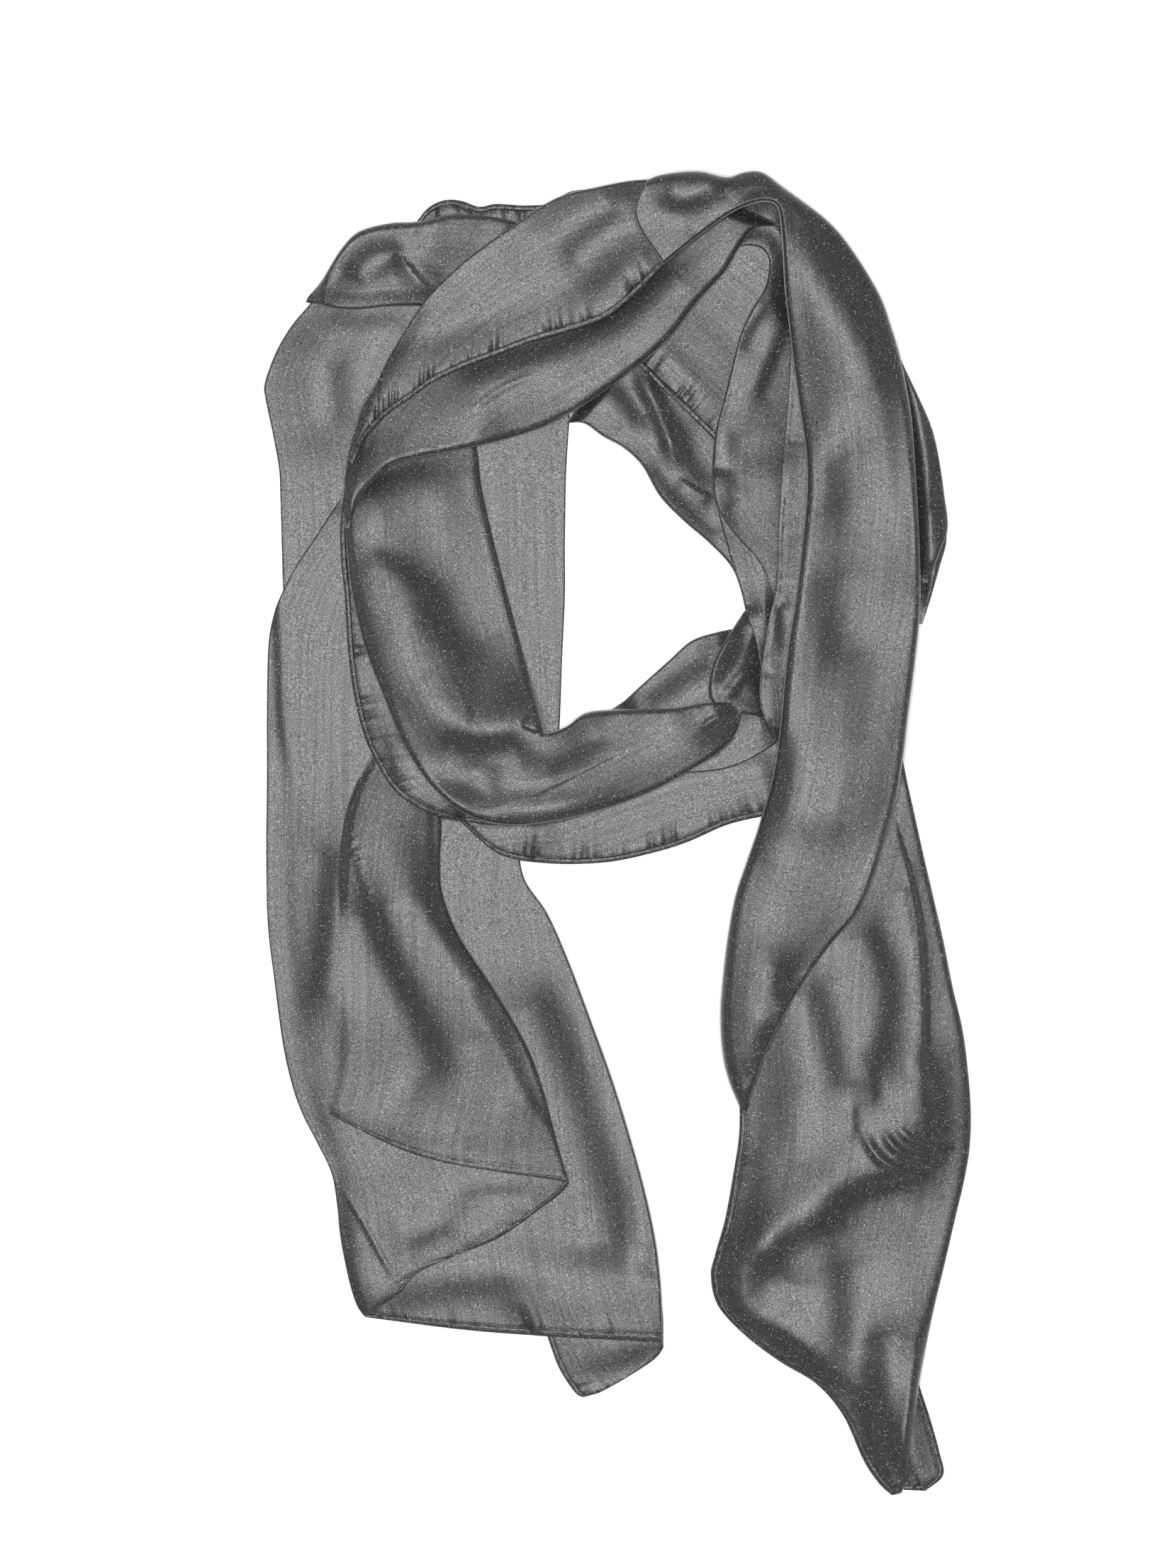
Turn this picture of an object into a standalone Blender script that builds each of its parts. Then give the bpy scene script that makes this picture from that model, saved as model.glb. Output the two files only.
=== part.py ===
# A satin chiffon scarf, laid flat in one neck loop with both tails hanging down.
# One long hemmed cloth is wound once. Each stretch of it that shows is a thin wall of its own.
# The stretches are laid down in order from the floor up, and each one drapes over those before it.

from collections import namedtuple

import bpy
import numpy as np

# Driving sizes in millimetres. The cloth is 1800 long, and its width sets the scale of the layout.
CLOTH_WIDTH = 360.0
WALL = 1.1
THICKEST_WALL = 2.6
GAP = 0.45
HEM_WALL = 1.0
DRAPE_REACH = 3
DRAPE_BLUR = 3

# The layout is drawn on a drafting grid: x counts to the right and y counts down, in equal steps.
# The left tail's end hem, followed through its four folds, is 1242 steps long.
STEPS_ACROSS_CLOTH = 1242.0
STEP = CLOTH_WIDTH / STEPS_ACROSS_CLOTH
GRID_MIDDLE_X = 871.24
GRID_MIDDLE_Y = 1175.46

# Height map of what is laid so far: one cell a millimetre
MAP_HALF_X = 160
MAP_HALF_Y = 290
CELL = 1.0

# Mesh density
ALONG = 13.0
SAMPLES_A_SIDE = 9
LIFT_ROUNDS = 40

METRE = 0.001

Piece = namedtuple("Piece", "name columns left_roll right_roll start_roll end_roll crown sections")
Roll = namedtuple("Roll", "height width")
Fold = namedtuple("Fold", "piece height half_width path")

HEM = Roll(0.0, 1.0)
FLAT_FOLD = Roll(0.8, 2.5)
SOFT_FOLD = Roll(1.6, 4.0)
FULL_FOLD = Roll(2.6, 6.0)
HIGH_FOLD = Roll(3.6, 7.0)

# Each piece's sections, from one end of the stretch to the other, on the drafting grid:
# left_x, left_y, right_x, right_y
PIECES = (
    Piece("back_panel", 8, FLAT_FOLD, SOFT_FOLD, HEM, HEM, 1.2, (
        (437, 424, 690, 424),
        (410, 460, 740, 460),
        (388, 498, 790, 500),
        (373, 540, 804, 560),
        (378, 580, 803, 600),
        (395, 700, 798, 700),
        (399, 832, 797, 840),
        (410, 1020, 790, 1030),
        (430, 1110, 780, 1110),
    )),
    Piece("inner_back", 6, FULL_FOLD, HEM, HEM, HEM, 0.8, (
        (806, 590, 905, 470),
        (850, 615, 960, 520),
        (880, 632, 985, 560),
        (904, 655, 1012, 606),
    )),
    Piece("inner_side", 6, SOFT_FOLD, HEM, HEM, HEM, 0.8, (
        (897, 642, 1004, 592),
        (932, 702, 1040, 650),
        (965, 735, 1065, 690),
        (1000, 765, 1085, 730),
        (1030, 797, 1100, 780),
        (1043, 828, 1105, 820),
        (1051, 862, 1110, 860),
    )),
    Piece("inner_middle", 6, HEM, HEM, SOFT_FOLD, HEM, 0.6, (
        (878, 498, 1010, 300),
        (905, 519, 1060, 296),
        (927, 541, 1100, 300),
        (950, 562, 1110, 350),
        (976, 586, 1110, 440),
        (1000, 612, 1115, 490),
        (1015, 628, 1118, 530),
        (1030, 650, 1120, 580),
    )),
    Piece("top_hem", 4, HEM, HEM, HEM, HEM, 0.3, (
        (588, 309, 603, 348),
        (603, 293, 615, 350),
        (625, 283, 637, 350),
        (676, 291, 682, 350),
        (740, 288, 748, 345),
        (775, 288, 790, 335),
        (803, 269, 820, 310),
        (838, 265, 850, 300),
    )),
    Piece("shoulder", 6, SOFT_FOLD, FULL_FOLD, HEM, HEM, 1.0, (
        (430, 429, 434, 419),
        (450, 430, 455, 393),
        (475, 436, 481, 353),
        (505, 436, 509, 326),
        (545, 431, 550, 315),
        (580, 431, 588, 312),
        (615, 432, 640, 302),
        (660, 430, 700, 306),
        (705, 420, 745, 318),
    )),
    Piece("left_tail_rear_corner", 4, HEM, FLAT_FOLD, HEM, HEM, 0.3, (
        (740, 1800, 925, 1790),
        (756, 1840, 935, 1850),
        (772, 1880, 936, 1895),
        (788, 1925, 936, 1905),
        (803, 1950, 920, 1920),
        (815, 1968, 870, 1952),
        (824, 1972, 845, 1966),
    )),
    Piece("left_tail_back", 8, HEM, SOFT_FOLD, HEM, HEM, 1.0, (
        (470, 1130, 742, 1132),
        (440, 1180, 735, 1190),
        (430, 1230, 738, 1240),
        (430, 1290, 770, 1290),
        (440, 1360, 803, 1360),
        (455, 1440, 833, 1440),
        (465, 1520, 862, 1520),
        (470, 1600, 888, 1600),
        (475, 1680, 910, 1680),
        (482, 1750, 924, 1750),
        (492, 1800, 931, 1810),
        (506, 1840, 934, 1860),
        (515, 1857, 934, 1893),
    )),
    Piece("left_tail_middle", 8, FLAT_FOLD, HEM, HEM, HEM, 0.8, (
        (484, 695, 500, 705),
        (462, 730, 520, 735),
        (440, 762, 540, 770),
        (418, 795, 560, 810),
        (400, 832, 580, 850),
        (385, 868, 590, 890),
        (378, 920, 610, 930),
        (376, 1000, 620, 1010),
        (376, 1100, 630, 1110),
        (375, 1200, 640, 1210),
        (377, 1300, 650, 1310),
        (386, 1380, 680, 1390),
        (399, 1480, 720, 1480),
        (415, 1550, 760, 1560),
        (438, 1600, 785, 1620),
        (468, 1650, 800, 1662),
        (472, 1680, 796, 1684),
        (478, 1730, 720, 1725),
        (488, 1790, 630, 1768),
        (505, 1838, 560, 1808),
        (515, 1855, 522, 1852),
    )),
    Piece("left_tail_front", 8, HEM, SOFT_FOLD, HEM, HEM, 1.0, (
        (530, 1040, 640, 1080),
        (520, 1075, 630, 1110),
        (500, 1110, 622, 1140),
        (488, 1150, 622, 1170),
        (478, 1200, 619, 1215),
        (474, 1260, 626, 1262),
        (473, 1320, 650, 1315),
        (473, 1390, 697, 1390),
        (472, 1460, 737, 1460),
        (468, 1520, 762, 1520),
        (456, 1557, 777, 1578),
        (480, 1588, 790, 1625),
        (530, 1610, 799, 1652),
        (560, 1618, 801, 1660),
    )),
    Piece("side_fold_rear", 4, HEM, FLAT_FOLD, HEM, HEM, 0.3, (
        (1290, 700, 1330, 720),
        (1290, 760, 1336, 760),
        (1292, 800, 1326, 800),
        (1296, 840, 1314, 842),
        (1298, 872, 1305, 872),
    )),
    Piece("side_fold", 4, HEM, SOFT_FOLD, HEM, HEM, 0.5, (
        (1246, 480, 1266, 495),
        (1258, 520, 1283, 525),
        (1266, 560, 1302, 565),
        (1272, 600, 1316, 605),
        (1277, 640, 1325, 650),
        (1280, 690, 1333, 700),
        (1282, 740, 1338, 745),
        (1283, 780, 1325, 780),
        (1284, 820, 1308, 825),
    )),
    Piece("bottom_band", 6, HEM, HEM, HEM, HEM, 0.6, (
        (640, 1140, 650, 1160),
        (680, 1140, 690, 1195),
        (730, 1135, 725, 1212),
        (800, 1130, 790, 1219),
        (860, 1128, 860, 1216),
        (910, 1106, 920, 1203),
        (960, 1096, 968, 1189),
        (1005, 1092, 1030, 1160),
        (1050, 1072, 1085, 1150),
        (1100, 1046, 1110, 1145),
    )),
    Piece("bottom_middle", 5, HEM, HEM, HEM, HEM, 0.5, (
        (930, 1080, 960, 1150),
        (1000, 1040, 1010, 1130),
        (1040, 1000, 1050, 1110),
        (1072, 985, 1100, 1090),
        (1085, 980, 1110, 1085),
    )),
    Piece("bottom_back", 5, SOFT_FOLD, HEM, HEM, HEM, 0.5, (
        (868, 1002, 890, 1040),
        (905, 966, 930, 1040),
        (942, 925, 970, 1040),
        (980, 899, 1010, 1040),
        (1010, 891, 1050, 1040),
        (1040, 887, 1075, 1030),
    )),
    Piece("loop_tuck", 5, SOFT_FOLD, HEM, HEM, SOFT_FOLD, 0.6, (
        (1056, 850, 1100, 850),
        (1035, 885, 1096, 890),
        (1012, 920, 1092, 920),
        (1002, 955, 1092, 955),
        (1001, 984, 1092, 990),
        (1020, 1010, 1092, 1015),
    )),
    Piece("inner_under", 5, SOFT_FOLD, HEM, HEM, HEM, 0.4, (
        (1005, 680, 1110, 680),
        (1015, 730, 1110, 730),
        (1030, 785, 1110, 785),
        (1043, 825, 1110, 830),
        (1053, 862, 1108, 870),
        (1066, 905, 1106, 910),
        (1074, 950, 1104, 960),
        (1075, 1000, 1102, 1010),
        (1090, 1040, 1102, 1045),
    )),
    Piece("inner_strand", 6, FULL_FOLD, HEM, HEM, HEM, 0.8, (
        (1082, 380, 1115, 380),
        (1078, 405, 1118, 405),
        (1058, 437, 1122, 440),
        (1043, 475, 1128, 475),
        (1030, 520, 1132, 520),
        (1018, 570, 1136, 570),
        (1009, 620, 1140, 620),
        (1005, 670, 1145, 670),
        (1010, 708, 1145, 710),
        (1030, 745, 1142, 745),
        (1058, 778, 1138, 778),
        (1080, 810, 1135, 810),
        (1093, 842, 1130, 842),
    )),
    Piece("inner_hem", 4, HEM, HEM, HEM, HEM, 0.3, (
        (1112, 470, 1135, 470),
        (1109, 520, 1145, 520),
        (1105, 580, 1150, 580),
        (1102, 650, 1155, 650),
        (1100, 710, 1155, 710),
        (1096, 770, 1150, 770),
        (1094, 830, 1145, 830),
        (1084, 875, 1140, 880),
        (1075, 930, 1135, 935),
        (1072, 985, 1130, 990),
        (1082, 1025, 1128, 1030),
        (1097, 1052, 1126, 1050),
    )),
    Piece("loop_under", 5, HEM, HEM, HEM, HEM, 0.4, (
        (488, 690, 520, 690),
        (484, 740, 530, 740),
        (484, 800, 540, 800),
        (485, 860, 550, 860),
        (490, 920, 560, 915),
        (500, 980, 580, 970),
        (514, 1035, 610, 1020),
        (530, 1075, 640, 1050),
        (552, 1106, 670, 1070),
        (580, 1132, 690, 1080),
        (610, 1148, 710, 1090),
        (650, 1159, 720, 1100),
        (700, 1164, 740, 1100),
    )),
    Piece("bottom_front", 7, HEM, FULL_FOLD, HEM, HEM, 1.2, (
        (660, 1161, 772, 1034),
        (720, 1166, 780, 1032),
        (770, 1162, 806, 1018),
        (850, 1142, 845, 1002),
        (920, 1116, 900, 1000),
        (975, 1092, 950, 1000),
        (1015, 1066, 990, 990),
        (1040, 1030, 1020, 987),
        (1047, 1000, 1035, 993),
    )),
    Piece("loop_front", 9, FULL_FOLD, HIGH_FOLD, HEM, HEM, 1.5, (
        (505, 632, 600, 600),
        (490, 665, 668, 612),
        (483, 720, 680, 690),
        (486, 780, 697, 765),
        (496, 845, 716, 840),
        (512, 910, 735, 910),
        (535, 975, 752, 970),
        (560, 1045, 764, 1012),
        (590, 1098, 766, 1028),
        (625, 1132, 764, 1036),
        (655, 1154, 761, 1050),
    )),
    Piece("loop_roll", 8, HEM, HIGH_FOLD, HEM, HEM, 1.0, (
        (1000, 270, 1098, 296),
        (985, 300, 1065, 318),
        (960, 340, 1045, 335),
        (925, 365, 1022, 372),
        (880, 395, 985, 418),
        (820, 430, 940, 470),
        (760, 455, 885, 525),
        (690, 475, 805, 585),
        (630, 505, 730, 614),
        (570, 550, 640, 638),
        (520, 600, 560, 647),
        (495, 645, 510, 668),
    )),
    Piece("top_panel", 8, FULL_FOLD, HEM, HEM, HEM, 1.8, (
        (985, 244, 1010, 315),
        (930, 253, 985, 333),
        (880, 257, 936, 375),
        (810, 268, 862, 436),
        (770, 290, 800, 466),
        (700, 332, 740, 486),
        (655, 368, 690, 501),
        (618, 402, 640, 526),
        (582, 450, 600, 549),
        (552, 500, 561, 577),
        (528, 553, 530, 602),
        (508, 600, 511, 626),
        (491, 650, 499, 656),
    )),
    Piece("right_tail_rear_corner", 4, HEM, HEM, HEM, HEM, 0.3, (
        (1230, 1900, 1285, 1900),
        (1240, 1950, 1297, 1950),
        (1250, 2000, 1311, 2000),
        (1258, 2050, 1325, 2050),
        (1268, 2085, 1331, 2084),
        (1284, 2109, 1306, 2104),
    )),
    Piece("right_tail_back", 12, SOFT_FOLD, FLAT_FOLD, HEM, HEM, 1.5, (
        (1180, 1040, 1272, 1062),
        (1170, 1080, 1282, 1110),
        (1160, 1120, 1291, 1150),
        (1150, 1160, 1302, 1200),
        (1140, 1220, 1316, 1260),
        (1130, 1290, 1331, 1325),
        (1120, 1350, 1344, 1390),
        (1110, 1420, 1358, 1450),
        (1090, 1470, 1365, 1500),
        (1065, 1540, 1370, 1560),
        (1045, 1600, 1369, 1615),
        (1035, 1660, 1361, 1665),
        (1026, 1710, 1348, 1720),
        (1010, 1765, 1333, 1785),
        (1003, 1795, 1322, 1830),
        (1015, 1840, 1312, 1875),
        (1050, 1877, 1305, 1910),
        (1100, 1912, 1298, 1945),
        (1155, 1952, 1293, 1985),
        (1193, 2000, 1287, 2025),
        (1219, 2058, 1282, 2062),
        (1238, 2090, 1279, 2092),
        (1257, 2110, 1271, 2109),
    )),
    Piece("top_fold", 7, FULL_FOLD, FULL_FOLD, SOFT_FOLD, HEM, 1.2, (
        (936, 374, 926, 252),
        (960, 352, 948, 243),
        (990, 330, 985, 241),
        (1025, 305, 1025, 250),
        (1055, 290, 1050, 245),
        (1080, 287, 1072, 241),
        (1094, 291, 1098, 257),
    )),
    Piece("right_tail_front", 9, FULL_FOLD, HIGH_FOLD, SOFT_FOLD, HEM, 1.6, (
        (1096, 293, 1105, 262),
        (1101, 315, 1166, 312),
        (1104, 350, 1201, 352),
        (1108, 410, 1240, 414),
        (1113, 460, 1256, 460),
        (1119, 510, 1271, 508),
        (1127, 580, 1285, 580),
        (1134, 640, 1291, 650),
        (1137, 690, 1294, 720),
        (1132, 750, 1297, 790),
        (1122, 830, 1298, 860),
        (1112, 910, 1290, 940),
        (1106, 970, 1281, 1010),
        (1100, 1030, 1273, 1070),
        (1092, 1090, 1264, 1130),
        (1075, 1155, 1248, 1182),
        (1055, 1212, 1230, 1235),
        (1040, 1270, 1207, 1285),
        (1030, 1325, 1170, 1330),
        (1022, 1385, 1135, 1368),
        (1018, 1430, 1110, 1428),
        (1021, 1475, 1090, 1458),
        (1032, 1520, 1072, 1510),
        (1050, 1573, 1052, 1572),
    )),
)

# The largest folds: the piece, its height (less than nothing for a trough) and half width in
# millimetres, and the line it follows on the drafting grid.
FOLDS = (
    Fold("inner_back", 2.2, 5.0, ((899, 526), (910, 564), (922, 603), (941, 640))),
    Fold("shoulder", 2.2, 5.0, ((539, 343), (560, 351), (574, 367), (592, 388), (611, 411))),
    Fold("shoulder", -1.6, 6.0, ((501, 362), (530, 385), (565, 410))),
    Fold("left_tail_back", -0.8, 9.0, ((704, 1395), (771, 1466), (820, 1571), (871, 1749))),
    Fold("left_tail_front", -1.6, 7.0, ((501, 1206), (550, 1325), (574, 1466), (617, 1557))),
    Fold("left_tail_front", 2.2, 6.0, ((501, 1167), (560, 1266), (655, 1374), (715, 1452))),
    Fold("left_tail_front", -1.4, 6.0, ((560, 1185), (602, 1255), (680, 1367))),
    Fold("bottom_front", -1.6, 8.0, ((760, 1085), (798, 1083), (840, 1062))),
    Fold("loop_front", -2.6, 13.0, ((541, 757), (595, 826), (641, 891))),
    Fold("loop_front", 1.6, 7.0, ((522, 815), (553, 872), (564, 930), (595, 991))),
    Fold("loop_front", -3.2, 9.0, ((620, 1050), (675, 1058), (735, 1045))),
    Fold("loop_roll", 3.0, 8.0, ((600, 600), (750, 560), (856, 495), (952, 434), (1025, 331))),
    Fold("loop_roll", -1.8, 7.0, ((600, 580), (700, 520), (800, 500), (930, 410), (1000, 330))),
    Fold("top_panel", -1.8, 7.0, ((800, 370), (850, 315), (900, 262))),
    Fold("top_fold", -2.4, 7.0, ((955, 285), (1000, 280), (1035, 270))),
    Fold("right_tail_back", 2.6, 6.0, ((1256, 1265), (1283, 1399), (1275, 1513), (1264, 1563))),
    Fold("right_tail_back", -1.6, 5.0, ((1210, 1276), (1252, 1387), (1245, 1475), (1237, 1533))),
    Fold("right_tail_back", 2.2, 6.0, ((1195, 1284), (1225, 1387), (1218, 1487), (1202, 1533))),
    Fold("right_tail_back", -1.8, 8.0, ((1164, 1364), (1176, 1437), (1180, 1544))),
    Fold("right_tail_back", 2.0, 10.0, ((1118, 1475), (1130, 1525), (1120, 1610))),
    Fold("right_tail_back", -2.0, 9.0, ((1290, 1663), (1167, 1700), (1048, 1758), (1035, 1790))),
    Fold("right_tail_back", -1.2, 7.0, ((1174, 1796), (1181, 1880), (1195, 1933))),
    Fold("right_tail_back", 1.8, 6.0, ((1294, 1845), (1273, 2038), (1267, 2080))),
    Fold("right_tail_front", 1.8, 5.0, ((1164, 1265), (1103, 1303), (1061, 1387), (1103, 1433))),
    Fold("right_tail_front", -2.4, 7.0, ((1107, 1350), (1107, 1385))),
)

# Each piece's own tint, so that the stretches can be told apart in the drawing
TINTS = ((0.20, 0.20, 0.21), (0.26, 0.26, 0.27), (0.32, 0.32, 0.33), (0.38, 0.38, 0.39))


def on_table(points):
    """Drafting grid points as millimetres from the middle of the laid scarf."""
    points = np.asarray(points, float)
    x = (points[..., 0] - GRID_MIDDLE_X) * STEP
    y = (GRID_MIDDLE_Y - points[..., 1]) * STEP
    return np.stack((x, y), axis=-1)


def smooth_line(rows, count):
    """A curve through every row, cut into count rows evenly spaced along it."""
    rows = np.asarray(rows, float)
    flat = rows.reshape(len(rows), -1)
    ends = np.vstack((2 * flat[0] - flat[1], flat, 2 * flat[-1] - flat[-2]))
    fine = []
    for before, start, stop, after in zip(ends, ends[1:], ends[2:], ends[3:]):
        for t in np.linspace(0.0, 1.0, 12, endpoint=False):
            bend = (2 * before - 5 * start + 4 * stop - after) * t**2
            twist = (3 * start - before - 3 * stop + after) * t**3
            fine.append(0.5 * (2 * start + (stop - before) * t + bend + twist))
    fine.append(flat[-1])
    fine = np.array(fine)
    middles = fine.reshape(len(fine), -1, 2).mean(axis=1)
    travelled = np.r_[0.0, np.cumsum(np.linalg.norm(np.diff(middles, axis=0), axis=1))]
    wanted = np.linspace(0.0, travelled[-1], count)
    columns = [np.interp(wanted, travelled, column) for column in fine.T]
    return np.stack(columns, axis=1).reshape(count, *rows.shape[1:])


def section_grid(piece):
    """The piece's points on the table, one row a section, and each point's edge distances."""
    sections = on_table(np.reshape(piece.sections, (len(piece.sections), 2, 2)))
    middles = sections.mean(axis=1)
    length = np.linalg.norm(np.diff(middles, axis=0), axis=1).sum()
    rows = smooth_line(sections, max(5, round(length / ALONG) + 1))
    even = np.linspace(0.0, 1.0, piece.columns)
    across = 0.5 * even + 0.25 * (1 - np.cos(np.pi * even))
    left = rows[:, :1]
    right = rows[:, 1:]
    points = left + (right - left) * across[None, :, None]
    widths = np.linalg.norm(rows[:, 1] - rows[:, 0], axis=1)
    middles = rows.mean(axis=1)
    travelled = np.r_[0.0, np.cumsum(np.linalg.norm(np.diff(middles, axis=0), axis=1))]
    from_left = widths[:, None] * across[None, :]
    from_right = widths[:, None] * (1 - across[None, :])
    from_start = np.broadcast_to(travelled[:, None], from_left.shape)
    from_end = travelled[-1] - from_start
    return points, (from_left, from_right, from_start, from_end)


def roll_height(distance, roll):
    """A rounded edge: steep at the rim, highest one width in, and slowly lower beyond."""
    rise = np.clip(distance / roll.width, 0.0, 1.0)
    round_part = np.sqrt(1.0 - (1.0 - rise) ** 2)
    beyond = np.maximum(distance - roll.width, 0.0)
    return roll.height * round_part * np.exp(-beyond / (4.0 * roll.width))


def line_distance(points, line):
    """How far each point is from a line, and how far along that line it is from 0 to 1."""
    best = np.full(points.shape[:-1], np.inf)
    place = np.zeros(points.shape[:-1])
    parts = len(line) - 1
    for index in range(parts):
        start = line[index]
        reach = line[index + 1] - start
        along = ((points - start) @ reach) / (reach @ reach)
        near = start + np.clip(along, 0.0, 1.0)[..., None] * reach
        distance = np.linalg.norm(points - near, axis=-1)
        closer = distance < best
        best = np.where(closer, distance, best)
        place = np.where(closer, (index + np.clip(along, 0.0, 1.0)) / parts, place)
    return best, place


def fold_height(points, piece_name):
    """What the piece's folds add at each point."""
    total = np.zeros(points.shape[:-1])
    for fold in FOLDS:
        if fold.piece != piece_name:
            continue
        line = smooth_line(on_table(fold.path), 24)
        distance, place = line_distance(points, line)
        fade = np.sin(np.pi * np.clip(place, 0.0, 1.0)) ** 0.5
        total += fold.height * fade * np.exp(-((distance / fold.half_width) ** 2))
    return total


def profile(piece, points, edges):
    """How high the cloth's face is above what it rests on."""
    from_left, from_right, from_start, from_end = edges
    width = from_left + from_right
    crown = piece.crown * 4 * from_left * from_right / width**2
    height = WALL + crown + fold_height(points, piece.name)
    height += roll_height(from_left, piece.left_roll)
    height += roll_height(from_right, piece.right_roll)
    height += roll_height(from_start, piece.start_roll)
    height += roll_height(from_end, piece.end_roll)
    return np.maximum(height, HEM_WALL)


def grid_triangles(rows, columns):
    """Two triangles for each cell of a grid of points."""
    index = np.arange(rows * columns).reshape(rows, columns)
    first = index[:-1, :-1].ravel()
    across = index[:-1, 1:].ravel()
    along = index[1:, :-1].ravel()
    opposite = index[1:, 1:].ravel()
    one = np.stack((first, across, opposite), axis=1)
    other = np.stack((first, opposite, along), axis=1)
    return np.vstack((one, other))


def spread(values, reach):
    """Each cell takes the highest value within reach of it."""
    for axis in (0, 1):
        grown = values.copy()
        for shift in range(-reach, reach + 1):
            grown = np.maximum(grown, np.roll(values, shift, axis=axis))
        values = grown
    return values


def blurred(values, reach):
    """Each cell takes the mean of those within reach of it."""
    for axis in (0, 1):
        shifts = range(-reach, reach + 1)
        values = sum(np.roll(values, shift, axis=axis) for shift in shifts) / len(shifts)
    return values


def cells_of(xy):
    """The height map's row and column under each point."""
    column = np.rint(xy[..., 0] / CELL).astype(int) + MAP_HALF_X
    row = np.rint(xy[..., 1] / CELL).astype(int) + MAP_HALF_Y
    return row, column


def needed(ground):
    """The lowest height at which the next piece may rest: the floor, or a gap above cloth."""
    wide = spread(ground, 1)
    return np.where(wide > 0, wide + GAP, 0.0)


def rest_on(ground, xy, triangles):
    """Heights at which the piece's underside rests on what is laid, smoothly and clear of it."""
    floor = needed(ground)
    soft = blurred(spread(floor, DRAPE_REACH), DRAPE_BLUR)
    low = soft[cells_of(xy)]
    side = np.linspace(0.0, 1.0, SAMPLES_A_SIDE)
    weights = np.array([(a, b, 1 - a - b) for a in side for b in side if a + b <= 1.0001])
    places = np.einsum("kc,tcd->tkd", weights, xy[triangles])
    wanted = floor[cells_of(places)]
    for _ in range(LIFT_ROUNDS):
        lack = wanted - np.einsum("kc,tc->tk", weights, low[triangles])
        worst = lack.argmax(axis=1)
        shortfall = np.maximum(lack[np.arange(len(lack)), worst], 0.0)
        share = weights[worst]
        lift = shortfall[:, None] * share / (share**2).sum(axis=1, keepdims=True)
        raised = np.zeros_like(low)
        np.maximum.at(raised, triangles.ravel(), lift.ravel())
        low = low + raised
    return low


def lay_on_map(ground, xy, top, triangles):
    """Raises the height map to the face of the piece just laid."""
    for corners in triangles:
        flat = xy[corners]
        row, column = cells_of(flat)
        rows, columns = np.mgrid[row.min() : row.max() + 1, column.min() : column.max() + 1]
        spots = np.stack((columns - MAP_HALF_X, rows - MAP_HALF_Y), axis=-1) * CELL
        one, two = flat[1] - flat[0], flat[2] - flat[0]
        area = one[0] * two[1] - one[1] * two[0]
        away = spots - flat[0]
        b = (away[..., 0] * two[1] - away[..., 1] * two[0]) / area
        c = (one[0] * away[..., 1] - one[1] * away[..., 0]) / area
        inside = (b >= -0.01) & (c >= -0.01) & (b + c <= 1.01)
        height = top[corners[0]] * (1 - b - c) + top[corners[1]] * b + top[corners[2]] * c
        window = ground[rows, columns]
        ground[rows, columns] = np.where(inside, np.maximum(window, height), window)


def closed_mesh(piece, xy, low, top, shape, triangles):
    """The piece as one closed wall: its face, its underside and the rim between them."""
    rows, columns = shape
    count = rows * columns
    index = np.arange(count).reshape(shape)
    rim = np.r_[index[0, :-1], index[:-1, -1], index[-1, :0:-1], index[:0:-1, 0]]
    following = np.roll(rim, -1)
    faces = [tuple(corners) for corners in triangles]
    faces += [tuple(corners[::-1] + count) for corners in triangles]
    for here, ahead in zip(rim, following):
        faces.append((ahead, here, here + count))
        faces.append((ahead, here + count, ahead + count))
    face_points = np.column_stack((xy, top))
    underside = np.column_stack((xy, low))
    points = np.vstack((face_points, underside)) * METRE
    mesh = bpy.data.meshes.new(piece.name)
    mesh.from_pydata(points.tolist(), [], [tuple(int(i) for i in face) for face in faces])
    mesh.polygons.foreach_set("use_smooth", [True] * len(faces))
    mesh.update()
    return mesh


def cloth_material(name, tint):
    """A plain fabric material for one piece."""
    material = bpy.data.materials.new(name + "_cloth")
    material.use_nodes = True
    shader = material.node_tree.nodes["Principled BSDF"]
    shader.inputs["Base Color"].default_value = (*tint, 1.0)
    shader.inputs["Roughness"].default_value = 0.45
    return material


def lay_piece(piece, ground, tint):
    """Drapes one stretch on what is laid already and adds it to the scene."""
    points, edges = section_grid(piece)
    shape = points.shape[:2]
    xy = points.reshape(-1, 2)
    triangles = grid_triangles(*shape)
    one = xy[triangles[:, 1]] - xy[triangles[:, 0]]
    two = xy[triangles[:, 2]] - xy[triangles[:, 0]]
    if (one[:, 0] * two[:, 1] - one[:, 1] * two[:, 0]).sum() < 0:
        points = points[:, ::-1]
        edges = tuple(distance[:, ::-1] for distance in edges)
        xy = points.reshape(-1, 2)
    rest = rest_on(ground, xy, triangles)
    top = rest + profile(piece, points, edges).ravel()
    low = np.maximum(rest, top - THICKEST_WALL)
    lay_on_map(ground, xy, top, triangles)
    mesh = closed_mesh(piece, xy, low, top, shape, triangles)
    mesh.materials.append(cloth_material(piece.name, tint))
    made = bpy.data.objects.new(piece.name, mesh)
    bpy.context.scene.collection.objects.link(made)
    print(piece.name, shape, "up to", round(float(top.max()), 1), "mm")


for old in list(bpy.data.objects):
    bpy.data.objects.remove(old, do_unlink=True)

laid = np.zeros((2 * MAP_HALF_Y + 1, 2 * MAP_HALF_X + 1))
for number, piece in enumerate(PIECES):
    lay_piece(piece, laid, TINTS[number % len(TINTS)])
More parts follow.
